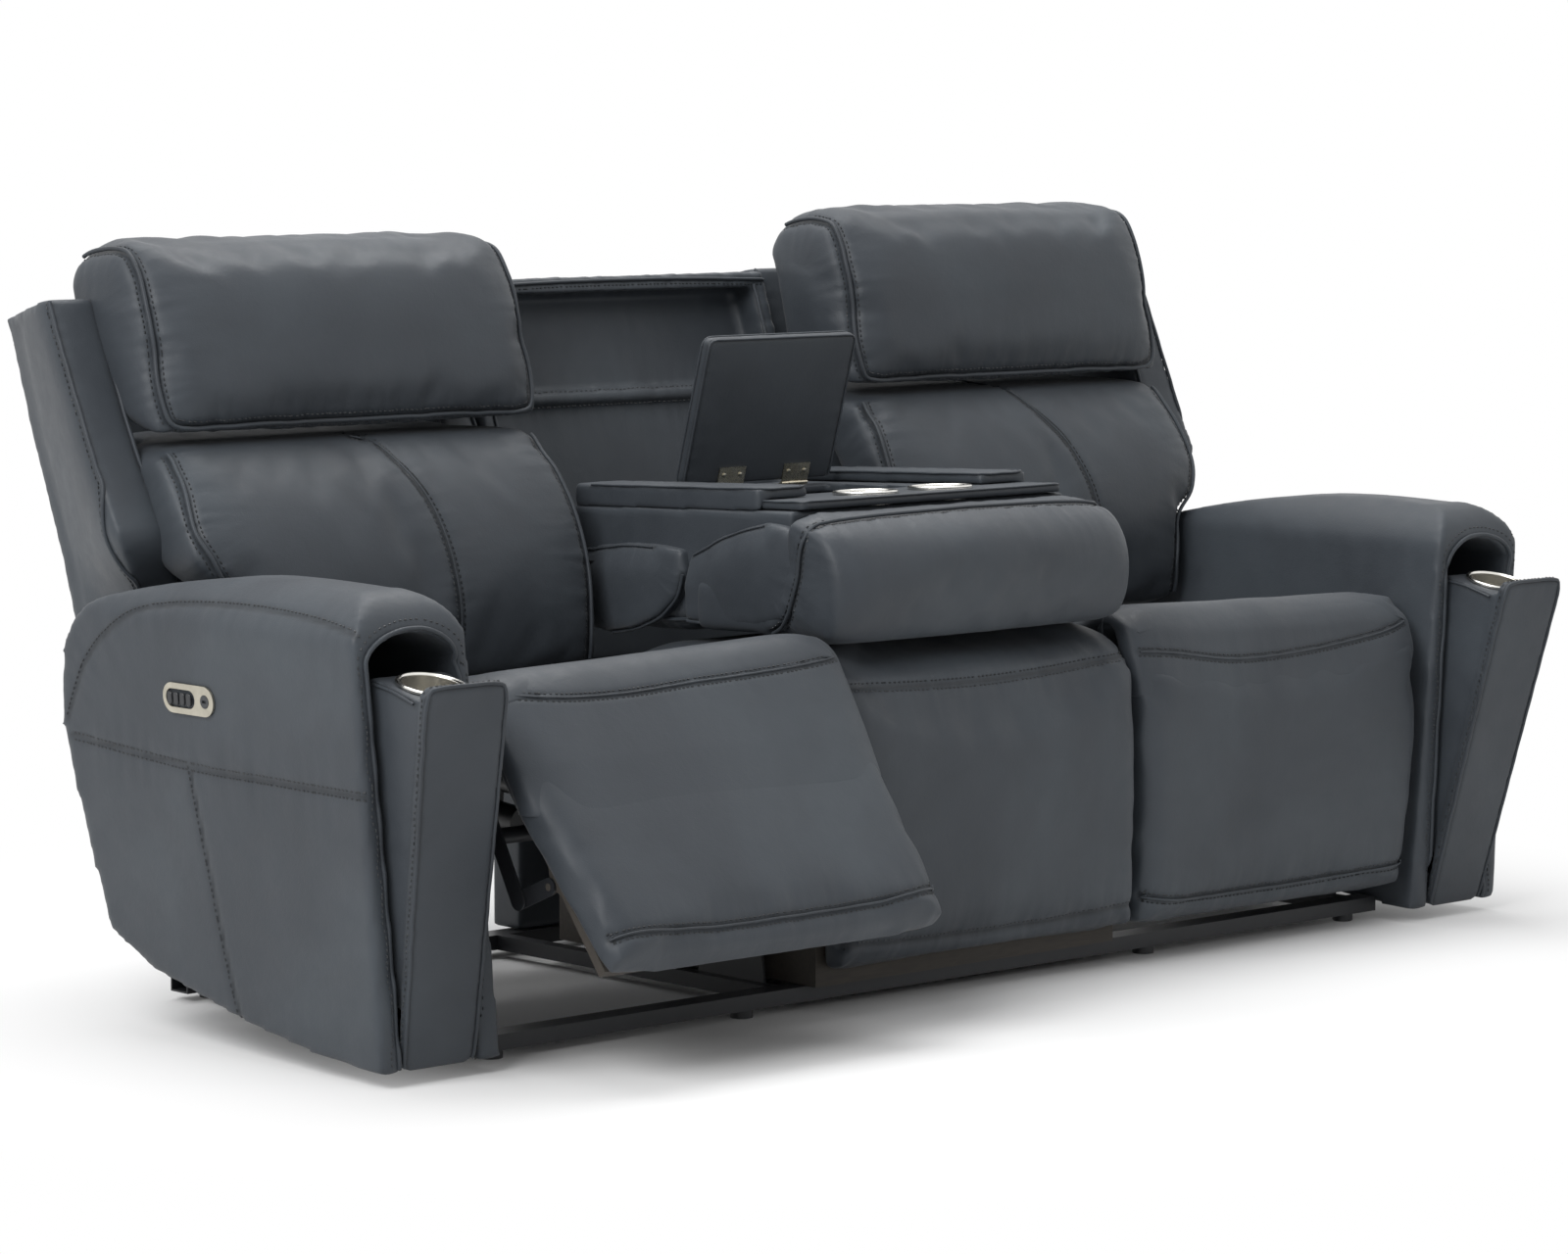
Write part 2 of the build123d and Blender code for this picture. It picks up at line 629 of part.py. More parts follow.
shell_thick = 45.0
for side, s in sides:
    swing = ((swing_centre, seat_swing[side]),)
    leg = ((footrest_hinge, footrest_open[side]),) + swing

    with BuildPart() as seat_frame:
        for x in (plate_inner_x, plate_outer_x):
            x_low, width = span(s, x, x + plate_thick)
            with BuildSketch(side_plane(x_low, swing)):
                with BuildLine():
                    Polyline((36, 396), (60, 366), (150, 330), (180, 140), (230, 140), (260, 300),
                             (360, 300), (390, 140), (440, 140), (480, 320), (640, 350), (774, 387),
                             (762, 414), (600, 396), (124, 396), (96, 416), (40, 412), close=True)
                make_face()
                with Locations(footrest_hinge):
                    Circle(11)
                with Locations(recline_pivot):
                    Circle(15)
                with Locations(crank_pivot):
                    Circle(14)
                with Locations((300, 350), (560, 365)):
                    Circle(16, mode=Mode.SUBTRACT)
            extrude(amount=width)
        inner_faces = (plate_inner_x + plate_thick, plate_outer_x)
        for place, radius, reach in ((footrest_hinge, pin_r, 6.4), (crank_pivot, pin_r, 8.0),
                                     (recline_pivot, 6.0, 14.0)):
            for x, way in zip(inner_faces, (1, -1)):
                x_low, width = span(s, min(x, x + way * reach), max(x, x + way * reach))
                with BuildSketch(side_plane(x_low, swing)):
                    with Locations(place):
                        Circle(radius)
                extrude(amount=width)
        for place in roller_points:
            for x, way in zip(inner_faces, (1, -1)):
                x_low, width = span(s, min(x, x + way * 17.0), max(x, x + way * 17.0))
                with BuildSketch(side_plane(x_low, swing)):
                    with Locations(place):
                        Circle(roller_r)
                extrude(amount=width)
        for place in ((300.0, 384.0), (560.0, 384.0)):
            x_low, width = span(s, inner_faces[0], inner_faces[1])
            with BuildSketch(side_plane(x_low, swing)):
                with Locations(place):
                    Circle(12.5)
                    Circle(10.5, mode=Mode.SUBTRACT)
            extrude(amount=width)
    save(f"seat_frame_{side}", seat_frame)

    x_low, width = span(s, cushion_inner, cushion_outer)
    with BuildPart() as seat_cushion:
        loft(sections=padded_sections(
            x_low, width,
            [(-8, 483), (112, 482.6), (116, 403), (482, 403), (482, 497), (300, 520), (70, 530)],
            [0.3, 0.3, 0.3, 2, 2, 2, 16], swing), ruled=True)
    save(f"seat_cushion_{side}", seat_cushion)

    # Footrest: padded panel on a plywood board, with the pin lugs of the linkage behind it.
    x_low, width = span(s, seat_inner, seat_outer)
    with BuildPart() as footrest_pad:
        loft(sections=padded_sections(
            x_low, width, [(-8, 52), (38.8, 50), (38.8, 460), (-8, 457.5)], [1, 0.3, 0.3, 9], leg),
            ruled=True)
        for x in both_plates(board_x):
            x_low, width = span(s, x - 0.5, x + plate_thick + 0.5)
            with BuildSketch(side_plane(x_low, leg)):
                with Locations(footrest_hinge):
                    Circle(11)
            extrude(amount=width, mode=Mode.SUBTRACT)
    save(f"footrest_pad_{side}", footrest_pad)

    with BuildPart() as footrest_board:
        x_low, width = span(s, board_x + plate_thick, both_plates(board_x)[1])
        with BuildSketch(side_plane(x_low, leg)):
            with Locations((47, 251)):
                Rectangle(14, 358)
        extrude(amount=width)
        for x in both_plates(lug_x):
            x_low, width = span(s, x, x + plate_thick)
            with BuildSketch(side_plane(x_low, leg)):
                with BuildLine():
                    Polyline((54, footrest_pin[1] - 34), (54, footrest_pin[1] + 34), footrest_pin, close=True)
                make_face()
                with Locations(footrest_pin):
                    Circle(11)
                with Locations((40, footrest_pin[1])):
                    Rectangle(28, 100, mode=Mode.SUBTRACT)
            extrude(amount=width)
        for x, way in ((lug_x, -1), (both_plates(lug_x)[1] + plate_thick, 1)):
            x_low, width = span(s, min(x, x + way * 4.5), max(x, x + way * 4.5))
            with BuildSketch(side_plane(x_low, leg)):
                with Locations(footrest_pin):
                    Circle(pin_r)
            extrude(amount=width)
        for x in both_plates(board_x):
            x_low, width = span(s, x, x + plate_thick)
            with BuildSketch(side_plane(x_low, leg)):
                with Locations((47, 385)):
                    Rectangle(14, 90)
                with Locations(footrest_hinge):
                    Circle(9)
                    Circle(pin_r + run_clear, mode=Mode.SUBTRACT)
            extrude(amount=width)
    save(f"footrest_board_{side}", footrest_board)

    crank = ((crank_pivot, footrest_open[side]),) + swing
    tube_point = (crank_pivot[0] + 0.5 * (coupler_pin[0] - crank_pivot[0]),
                  crank_pivot[1] + 0.5 * (coupler_pin[1] - crank_pivot[1]))
    with BuildPart() as footrest_cranks:
        for x in both_plates(crank_x):
            x_low, width = span(s, x, x + plate_thick)
            with BuildSketch(side_plane(x_low, crank)):
                with Locations(crank_pivot, coupler_pin):
                    Circle(13)
                make_hull()
                with Locations(crank_pivot):
                    Circle(pin_r + run_clear, mode=Mode.SUBTRACT)
            extrude(amount=width)
        for x, way in ((crank_x + plate_thick, 1), (both_plates(crank_x)[1], -1)):
            x_low, width = span(s, min(x, x + way * 4.5), max(x, x + way * 4.5))
            with BuildSketch(side_plane(x_low, crank)):
                with Locations(coupler_pin):
                    Circle(pin_r)
            extrude(amount=width)
        x_low, width = span(s, crank_x + plate_thick, both_plates(crank_x)[1])
        with BuildSketch(side_plane(x_low, crank)):
            with Locations(tube_point):
                Circle(11)
                Circle(9, mode=Mode.SUBTRACT)
        extrude(amount=width)
    save(f"footrest_cranks_{side}", footrest_cranks)

    # The couplers keep their direction, so they are only carried by the footrest pin.
    moved_pin = turned(footrest_pin, footrest_hinge, footrest_open[side])
    shift = (moved_pin[0] - footrest_pin[0], moved_pin[1] - footrest_pin[1])
    with BuildPart() as footrest_couplers:
        for x in both_plates(coupler_x):
            x_low, width = span(s, x, x + plate_thick)
            with BuildSketch(side_plane(x_low, swing)):
                with Locations(*[(p[0] + shift[0], p[1] + shift[1]) for p in (footrest_pin, coupler_pin)]):
                    Circle(12)
                make_hull()
                with Locations((footrest_pin[0] + shift[0], footrest_pin[1] + shift[1])):
                    Circle(pin_r + run_clear, mode=Mode.SUBTRACT)
                with Locations((coupler_pin[0] + shift[0], coupler_pin[1] + shift[1])):
                    Circle(pin_r + open_clear, mode=Mode.SUBTRACT)
            extrude(amount=width)
    save(f"footrest_couplers_{side}", footrest_couplers)

    # Back: a rear slab with a narrower tongue at the pivot, wings, back cushion and headrest.
    with BuildPart() as back_shell:
        x_low, width = span(s, 319.0, 1018.0)
        with BuildSketch(side_plane(x_low, swing)):
            with BuildLine():
                Polyline(rear_line(470), rear_line(510), rear_line(660), rear_line(843), rear_line(990),
                         rear_line(990, shell_thick), rear_line(843, shell_thick),
                         rear_line(660, shell_thick), rear_line(510, shell_thick),
                         rear_line(470, shell_thick), close=True)
            make_face()
        extrude(amount=width)
        x_low, width = span(s, 319.0, 895.0)
        with BuildSketch(side_plane(x_low, swing)):
            with BuildLine():
                Polyline(rear_line(470), rear_line(355), rear_line(350, 5), rear_line(350, shell_thick),
                         rear_line(470, shell_thick), close=True)
            make_face()
        extrude(amount=width)
        with BuildSketch(side_plane(x_low, swing)):
            with Locations(recline_pivot):
                Circle(6 + run_clear)
        extrude(amount=width, mode=Mode.SUBTRACT)
    save(f"back_shell_{side}", back_shell)

    with BuildPart() as back_wings:
        for inner, outer, drop in ((322.0, 396.0, 8.0), (938.0, 1022.0, 0.0)):
            x_low, width = span(s, inner, outer)
            with BuildSketch(side_plane(x_low, swing)):
                with BuildLine():
                    Polyline(rear_line(990, shell_thick), rear_line(990), rear_line(1000 - drop),
                             (859, 1018 - drop), (843, 971), (760, 781),
                             (672, 612), (700, 566), rear_line(556, shell_thick), rear_line(660, shell_thick),
                             rear_line(843, shell_thick), close=True)
                make_face()
            extrude(amount=width)
    save(f"back_wings_{side}", back_wings)

    x_low, width = span(s, 399.0, 935.0)
    with BuildPart() as back_cushion:
        loft(sections=padded_sections(
            x_low, width, [(508, 508), (700, 480), rear_line(530, shell_thick + 9),
                           rear_line(836, shell_thick + 9), (628, 833)],
            [2, 1, 0.3, 1.5, 14], swing), ruled=True)
    save(f"back_cushion_{side}", back_cushion)

    x_low, width = span(s, 383.0, 958.0)
    with BuildPart() as headrest:
        loft(sections=padded_sections(
            x_low, width, [(628, 846), (780, 856), (838, 1050), (812, 1080), (690, 1086)],
            [2, 1, 2, 7, 20], swing, draw=12), ruled=True)
    save(f"headrest_{side}", headrest)

    # Linear drive: motor and outer tube on the seat frame, with the rod that pushes the torque tube.
    rod_shift = rod_per_degree * footrest_open[side]

    with BuildPart() as drive_body:
        with BuildSketch(drive_plane(s, 0, swing)):
            RectangleRounded(44, 40, 6)
        extrude(amount=62)
        with BuildSketch(drive_plane(s, 62, swing)):
            Circle(16)
        extrude(amount=180)
        with BuildSketch(drive_plane(s, 30, swing)):
            with Locations((0, -52)):
                Circle(21)
        extrude(amount=88)
        with BuildSketch(drive_plane(s, 30, swing)):
            with Locations((0, -30)):
                Rectangle(36, 44)
        extrude(amount=24)
        with BuildSketch(drive_plane(s, 90, swing)):
            Circle(9.4)
        extrude(amount=200, mode=Mode.SUBTRACT)
    save(f"drive_body_{side}", drive_body)

    with BuildPart() as drive_rod:
        with BuildSketch(drive_plane(s, 100 + rod_shift, swing)):
            Circle(9)
        extrude(amount=drive_length - 100 - 26)
        with BuildSketch(drive_plane(s, drive_length - 26 + rod_shift, swing)):
            RectangleRounded(22, 20, 3)
        extrude(amount=16)
    save(f"drive_rod_{side}", drive_rod)
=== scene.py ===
import json
import math
import bpy
import bmesh
from mathutils import Matrix, Vector, noise
from mathutils.bvhtree import BVHTree
from mathutils.kdtree import KDTree

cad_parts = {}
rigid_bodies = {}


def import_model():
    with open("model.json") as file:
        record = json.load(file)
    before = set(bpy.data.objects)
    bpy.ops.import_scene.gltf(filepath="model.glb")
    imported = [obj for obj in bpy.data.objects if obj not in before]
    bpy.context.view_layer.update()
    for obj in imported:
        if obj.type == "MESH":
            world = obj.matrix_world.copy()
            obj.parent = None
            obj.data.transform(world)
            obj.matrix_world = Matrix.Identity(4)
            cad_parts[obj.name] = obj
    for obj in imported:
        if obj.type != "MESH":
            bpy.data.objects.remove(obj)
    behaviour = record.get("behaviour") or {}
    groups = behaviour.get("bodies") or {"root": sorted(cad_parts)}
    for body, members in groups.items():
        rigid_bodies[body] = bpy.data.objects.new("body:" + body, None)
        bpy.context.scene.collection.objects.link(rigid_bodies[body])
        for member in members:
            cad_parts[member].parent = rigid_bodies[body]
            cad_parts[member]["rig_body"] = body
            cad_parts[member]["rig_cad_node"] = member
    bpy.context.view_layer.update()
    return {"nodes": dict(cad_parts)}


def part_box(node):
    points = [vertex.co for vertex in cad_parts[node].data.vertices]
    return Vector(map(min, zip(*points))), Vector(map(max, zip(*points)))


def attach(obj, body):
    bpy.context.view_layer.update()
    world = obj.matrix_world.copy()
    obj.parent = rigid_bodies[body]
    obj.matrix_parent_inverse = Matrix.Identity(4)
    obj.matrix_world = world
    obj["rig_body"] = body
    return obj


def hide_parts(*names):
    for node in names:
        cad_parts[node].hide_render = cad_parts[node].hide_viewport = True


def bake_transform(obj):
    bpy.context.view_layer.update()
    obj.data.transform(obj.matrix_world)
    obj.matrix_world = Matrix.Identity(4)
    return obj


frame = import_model()

# ---------------------------------------------------------------- studio
# The sofa stands on a pale studio floor, seen from the front left by a long lens about seven
# metres away, in soft light from a wide softbox above the camera and white walls all round.
foot_inset = 0.014
front_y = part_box("arm_left")[0].y + foot_inset     # the arms' front foot, which depths are measured from


def at(x, depth, height, *turns):
    """A point given in millimetres, leant back in turn about each (depth, height) pivot by degrees."""
    for (pivot_depth, pivot_height), degrees in turns:
        c, s = math.cos(math.radians(degrees)), math.sin(math.radians(degrees))
        y, z = depth - pivot_depth, height - pivot_height
        depth, height = pivot_depth + y * c + z * s, pivot_height - y * s + z * c
    return Vector((x / 1000, depth / 1000 + front_y, height / 1000))


def deselect():
    if bpy.context.mode != "OBJECT":
        bpy.ops.object.mode_set(mode="OBJECT")
    bpy.ops.object.select_all(action="DESELECT")


def hexcolour(code):
    """An sRGB hex colour as linear RGBA."""
    parts = [int(code[i:i + 2], 16) / 255 for i in (0, 2, 4)]
    return tuple(p / 12.92 if p <= 0.04045 else ((p + 0.055) / 1.055) ** 2.4 for p in parts) + (1.0,)


def fill(tree, made, sockets):
    """Gives a node's sockets their values, or links them."""
    for name, value in sockets.items():
        if isinstance(value, bpy.types.NodeSocket):
            tree.links.new(value, made.inputs[name])
        else:
            made.inputs[name].default_value = value


def node(tree, kind, settings=None, sockets=None):
    """Adds a shader node with its settings, and fills or links its sockets."""
    made = tree.nodes.new(kind)
    for name, value in (settings or {}).items():
        setattr(made, name, value)
    fill(tree, made, sockets or {})
    return made


def new_material(name):
    """A material with its node tree, its shader and the object coordinates for its patterns."""
    made = bpy.data.materials.new(name)
    made.use_nodes = True
    tree = made.node_tree
    return made, tree, tree.nodes["Principled BSDF"], node(tree, "ShaderNodeTexCoord").outputs["Object"]


yaw, pitch, roll = 0.74362, 0.10409, 0.00209      # radians, from the photograph's vanishing lines
focal_px, photo_width, sensor = 5259.0, 1600, 36.0
camera_place = (-5174.976, -5190.154, 1290.831)
look = Vector((math.sin(yaw) * math.cos(pitch), math.cos(yaw) * math.cos(pitch), -math.sin(pitch)))
level = Vector((math.cos(yaw), -math.sin(yaw), 0))
upward = level.cross(look)
camera_right = math.cos(roll) * level + math.sin(roll) * upward
camera_up = -math.sin(roll) * level + math.cos(roll) * upward
deselect()
bpy.ops.object.camera_add()
camera = bpy.context.object
camera.name = "studio_camera"
camera.matrix_world = (Matrix.Translation(at(*camera_place))
                       @ Matrix((camera_right, camera_up, -look)).transposed().to_4x4())
camera.data.sensor_width = sensor
camera.data.sensor_fit = "HORIZONTAL"
camera.data.lens = focal_px * sensor / photo_width
camera.data.clip_end = 60.0
bpy.context.scene.camera = camera
bpy.context.scene.view_settings.view_transform = "Standard"

bpy.ops.mesh.primitive_circle_add(vertices=96, radius=9.0, fill_type="NGON")
floor = bpy.context.object
floor.name = "studio_floor"
floor_paint, paint_tree, paint, floor_place = new_material("matt_white_floor_paint")
fill(paint_tree, paint, {"Base Color": hexcolour("f4f4f4"), "Roughness": 0.9, "Specular IOR Level": 0.0})
fade_start, fade_end = 0.8, 1.75                  # metres from the sofa over which the floor turns white
floor_reach = node(paint_tree, "ShaderNodeVectorMath", {"operation": "LENGTH"}, {0: floor_place})
floor_fade = node(paint_tree, "ShaderNodeMapRange", {"interpolation_type": "SMOOTHSTEP"},
                  {"Value": floor_reach.outputs["Value"], "From Min": fade_start,
                   "From Max": fade_end})
rays = node(paint_tree, "ShaderNodeLightPath")
floor_seen = node(paint_tree, "ShaderNodeMath", {"operation": "MULTIPLY"},
                  {0: floor_fade.outputs["Result"], 1: rays.outputs["Is Camera Ray"]})
white = node(paint_tree, "ShaderNodeEmission", None, {"Color": (1, 1, 1, 1), "Strength": 1.0})
floor_mix = node(paint_tree, "ShaderNodeMixShader", None,
                 {0: floor_seen.outputs[0], 1: paint.outputs[0], 2: white.outputs[0]})
paint_tree.links.new(floor_mix.outputs[0], paint_tree.nodes["Material Output"].inputs["Surface"])
floor.data.materials.append(floor_paint)

world = bpy.data.worlds.new("white_studio")
bpy.context.scene.world = world
world.use_nodes = True
world_tree = world.node_tree
world_tree.nodes.clear()
rays = node(world_tree, "ShaderNodeLightPath")
seen = node(world_tree, "ShaderNodeMath", {"operation": "MAXIMUM"},
            {0: rays.outputs["Is Camera Ray"], 1: rays.outputs["Is Transmission Ray"]})
seen = node(world_tree, "ShaderNodeMath", {"operation": "MAXIMUM"},
            {0: seen.outputs[0], 1: rays.outputs["Is Glossy Ray"]})
ambient = node(world_tree, "ShaderNodeBackground", None, {"Color": (1, 1, 1, 1), "Strength": 0.43})
backdrop = node(world_tree, "ShaderNodeBackground", None, {"Color": (1, 1, 1, 1), "Strength": 1.0})
world_mix = node(world_tree, "ShaderNodeMixShader", None,
                 {0: seen.outputs[0], 1: ambient.outputs[0], 2: backdrop.outputs[0]})
world_out = node(world_tree, "ShaderNodeOutputWorld", None, {"Surface": world_mix.outputs[0]})


def softbox(name, place, target, width, height, power):
    deselect()
    bpy.ops.object.light_add(type="AREA", location=place)
    lamp = bpy.context.object
    lamp.name = name
    lamp.data.shape = "RECTANGLE"
    lamp.data.size, lamp.data.size_y = width, height
    lamp.data.energy = power
    lamp.rotation_euler = (Vector(target) - Vector(place)).to_track_quat("-Z", "Y").to_euler()


softbox("key_softbox", (-4.6, -1.3, 3.9), (0, 0, 0.5), 3.2, 2.4, 200)
softbox("top_softbox", (0.3, 0.9, 4.3), (0, 0, 0.4), 3.8, 2.4, 130)

# ---------------------------------------------------------------- steel base and recliner mechanism
# Welded box rails, side plates and links of stamped steel, all powder coated black. Pins are zinc
# plated, rollers are nylon, and the linear drive has a black motor housing and a bright rod.


def coated_steel(name, colour, roughness):
    """Powder coat: satin and slightly pebbled, like fine orange peel."""
    made, tree, shader, place = new_material(name)
    peel = node(tree, "ShaderNodeTexNoise", None, {"Vector": place, "Scale": 650.0, "Detail": 2.0})
    dust = node(tree, "ShaderNodeTexNoise", None, {"Vector": place, "Scale": 9.0, "Detail": 5.0})
    shade = node(tree, "ShaderNodeMix", {"data_type": "RGBA"},
                 {0: dust.outputs["Fac"], 6: hexcolour(colour), 7: hexcolour("24262a")})
    gloss = node(tree, "ShaderNodeMapRange", None,
                 {"Value": dust.outputs["Fac"], "To Min": roughness - 0.07, "To Max": roughness + 0.1})
    bump = node(tree, "ShaderNodeBump", None,
                {"Height": peel.outputs["Fac"], "Distance": 0.0003, "Strength": 0.35})
    fill(tree, shader, {"Base Color": shade.outputs[2], "Roughness": gloss.outputs["Result"],
                        "Normal": bump.outputs["Normal"]})
    return made


def plated_metal(name, colour, worn, roughness, stretch=(1.0, 1.0, 1.0), brushed=0.25):
    """Bare or plated metal with fine brush lines along the stretched axis and faint clouding."""
    made, tree, shader, place = new_material(name)
    along = node(tree, "ShaderNodeMapping", None, {"Vector": place, "Scale": stretch})
    lines = node(tree, "ShaderNodeTexNoise", None,
                 {"Vector": along.outputs["Vector"], "Scale": 900.0, "Detail": 3.0})
    cloud = node(tree, "ShaderNodeTexNoise", None, {"Vector": place, "Scale": 60.0, "Detail": 3.0})
    shade = node(tree, "ShaderNodeMix", {"data_type": "RGBA"},
                 {0: cloud.outputs["Fac"], 6: hexcolour(colour), 7: hexcolour(worn)})
    gloss = node(tree, "ShaderNodeMapRange", None,
                 {"Value": lines.outputs["Fac"], "To Min": roughness - 0.08,
                  "To Max": roughness + 0.12})
    bump = node(tree, "ShaderNodeBump", None,
                {"Height": lines.outputs["Fac"], "Distance": 0.0001, "Strength": brushed})
    fill(tree, shader, {"Base Color": shade.outputs[2], "Roughness": gloss.outputs["Result"],
                        "Normal": bump.outputs["Normal"], "Metallic": 1.0})
    return made


def moulded_plastic(name, colour, roughness, grain):
    """Injection moulded plastic with an even spark-eroded grain, given in millimetres."""
    made, tree, shader, place = new_material(name)
    pits = node(tree, "ShaderNodeTexVoronoi", None, {"Vector": place, "Scale": 1000.0 / grain})
    shade = node(tree, "ShaderNodeMix", {"data_type": "RGBA"},
                 {0: pits.outputs["Distance"], 6: hexcolour(colour), 7: hexcolour("2b2d30")})
    bump = node(tree, "ShaderNodeBump", None,
                {"Height": pits.outputs["Distance"], "Distance": 0.0001, "Strength": 0.3})
    fill(tree, shader, {"Base Color": shade.outputs[2], "Roughness": roughness,
                        "Normal": bump.outputs["Normal"]})
    return made


def finish_nodes(material, *names):
    for name in names:
        mesh = frame["nodes"][name].data
        mesh.materials.clear()
        mesh.materials.append(material)


black_coat = coated_steel("black_powder_coat", "17181b", 0.46)
zinc_plate = plated_metal("zinc_plated_steel", "b4b2a6", "8e8b80", 0.34)
glide_plastic = moulded_plastic("black_nylon", "141517", 0.42, 0.5)
sides = (("left", -1), ("right", 1))
finish_nodes(black_coat, "base_cross_rails", "base_side_rails", "console_brackets")
finish_nodes(glide_plastic, "floor_glides")
for side, _ in sides:
    finish_nodes(black_coat, f"seat_frame_{side}", f"footrest_cranks_{side}",
                 f"footrest_couplers_{side}")
    finish_nodes(glide_plastic, f"drive_body_{side}")
    finish_nodes(zinc_plate, f"drive_rod_{side}")

swing_centre = (260, 1100)
footrest_hinge = (44, 402)
seat_turns = {"left": ((swing_centre, 2.87),), "right": ()}
leg_turns = {"left": ((footrest_hinge, 34.9), (swing_centre, 2.87)), "right": ()}


def fix_fitting(made, metal, body, centre, outward):
    """Sets a metal fitting at its centre with its axis pointing outward, and rides it on its body."""
    turn = Vector((0, 0, 1)).rotation_difference(outward).to_matrix().to_4x4()
    made.data.transform(Matrix.Translation(centre) @ turn)
    made.data.materials.append(metal)
    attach(made, body)


def rivet(name, body, centre, outward, radius, height):
    """Round-headed rivet: a short cylinder whose end is inset and domed."""
    deselect()
    bpy.ops.mesh.primitive_cylinder_add(vertices=20, radius=radius, depth=height)
    made = bpy.context.object
    made.name = name
    bpy.ops.object.mode_set(mode="EDIT")
    shape = bmesh.from_edit_mesh(made.data)
    for face in shape.faces:
        face.select = face.normal.z > 0.9
    bmesh.update_edit_mesh(made.data)
    for rise in (0.35, 0.12):
        bpy.ops.mesh.inset(thickness=radius * 0.35, depth=height * rise)
    bpy.ops.object.mode_set(mode="OBJECT")
    bpy.ops.object.shade_smooth_by_angle(angle=0.6)
    fix_fitting(made, zinc_plate, body, centre, outward)


plate_faces = ((309.4, -1, "inner"), (904.0, 1, "outer"))     # a seat's side plates, and their outer ways
plate_rivets = ((44, 402, 8), (104, 380, 8), (768, 400, 9), (205, 150, 7), (415, 150, 7))
head_rise, head_height = 1.2, 0.0026
for side, s in sides:
    for number, (depth, height, radius) in enumerate(plate_rivets):
        for face, way, plate in plate_faces:
            spot = at(s * (face + way * head_rise), depth, height, *seat_turns[side])
            rivet(f"frame_rivet_{side}_{number}_{plate}", f"seat_{side}", spot, Vector((s * way, 0, 0)),
                  radius / 1000, head_height)

# ---------------------------------------------------------------- arms
# Hardwood arm boxes padded with foam and covered in slate blue top-grain leather. The side panels
# are sewn in three, and a welt runs round the arched mouth of the storage pocket.


def leather(name, mid, light, dark, grain=1.6):
    """Corrected top-grain leather: soft sheen, cloudy dye, pebbled grain and painted shade along the sewn seams.
    """
    made, tree, shader, place = new_material(name)
    clouds = node(tree, "ShaderNodeTexNoise", None,
                  {"Vector": place, "Scale": 3.6, "Detail": 4.0, "Roughness": 0.55, "Distortion": 0.4})
    mottle = node(tree, "ShaderNodeTexNoise", None,
                  {"Vector": place, "Scale": 26.0, "Detail": 5.0, "Roughness": 0.6})
    dye = node(tree, "ShaderNodeValToRGB", None, {"Fac": clouds.outputs["Fac"]})
    ramp = dye.color_ramp.elements
    for stop, position, colour in ((ramp[0], 0.32, dark), (ramp[1], 0.68, light)):
        stop.position, stop.color = position, hexcolour(colour)
    ramp.new(0.5).color = hexcolour(mid)
    haze = node(tree, "ShaderNodeMapRange", None,
                {"Value": mottle.outputs["Fac"], "From Min": 0.35, "From Max": 0.75,
                 "To Min": 0.0, "To Max": 0.3})
    shade = node(tree, "ShaderNodeMix", {"data_type": "RGBA"},
                 {0: haze.outputs["Result"], 6: dye.outputs["Color"], 7: hexcolour(light)})
    # Painted shade: the sewn mark darkens the leather towards near black beside each seam, where its crease is in
    # shade.
    sewn = node(tree, "ShaderNodeAttribute", {"attribute_name": "sewn"})
    tuck = node(tree, "ShaderNodeMath", {"operation": "MULTIPLY"}, {0: sewn.outputs["Fac"], 1: 0.6})
    shade = node(tree, "ShaderNodeMix", {"data_type": "RGBA"},
                 {0: tuck.outputs[0], 6: shade.outputs[2], 7: hexcolour("0d0f12")})
    cells = node(tree, "ShaderNodeTexVoronoi", {"feature": "SMOOTH_F1"},
                 {"Vector": place, "Scale": 1000.0 / grain, "Smoothness": 0.4})
    folds = node(tree, "ShaderNodeTexNoise", None,
                 {"Vector": place, "Scale": 95.0, "Detail": 4.0, "Distortion": 0.6})
    pebble = node(tree, "ShaderNodeBump", None,
                  {"Height": cells.outputs["Distance"], "Distance": 0.0004, "Strength": 0.3})
    crease = node(tree, "ShaderNodeBump", None,
                  {"Height": folds.outputs["Fac"], "Distance": 0.0012, "Strength": 0.22,
                   "Normal": pebble.outputs["Normal"]})
    gloss = node(tree, "ShaderNodeMapRange", None,
                 {"Value": mottle.outputs["Fac"], "From Min": 0.3, "From Max": 0.7,
                  "To Min": 0.44, "To Max": 0.58})
    fill(tree, shader, {"Base Color": shade.outputs[2], "Roughness": gloss.outputs["Result"],
                        "Normal": crease.outputs["Normal"], "Specular IOR Level": 0.32,
                        "Sheen Weight": 0.05, "Sheen Roughness": 0.6})
    return made


slate_leather = leather("slate_top_grain_leather", "363b41", "3d4349", "2f343a")
welt_leather = leather("slate_welt_leather", "30353b", "3a4046", "282c31")
thread, thread_tree, thread_shader, thread_place = new_material("bonded_nylon_thread")
thread_ply = node(thread_tree, "ShaderNodeTexNoise", None, {"Vector": thread_place, "Scale": 1500.0})
thread_shade = node(thread_tree, "ShaderNodeMix", {"data_type": "RGBA"},
                    {0: thread_ply.outputs["Fac"], 6: hexcolour("0e1012"), 7: hexcolour("24282c")})
fill(thread_tree, thread_shader, {"Base Color": thread_shade.outputs[2], "Roughness": 0.5})


def pick(piece):
    """Makes the piece the active object and the only one selected."""
    deselect()
    piece.select_set(True)
    bpy.context.view_layer.objects.active = piece


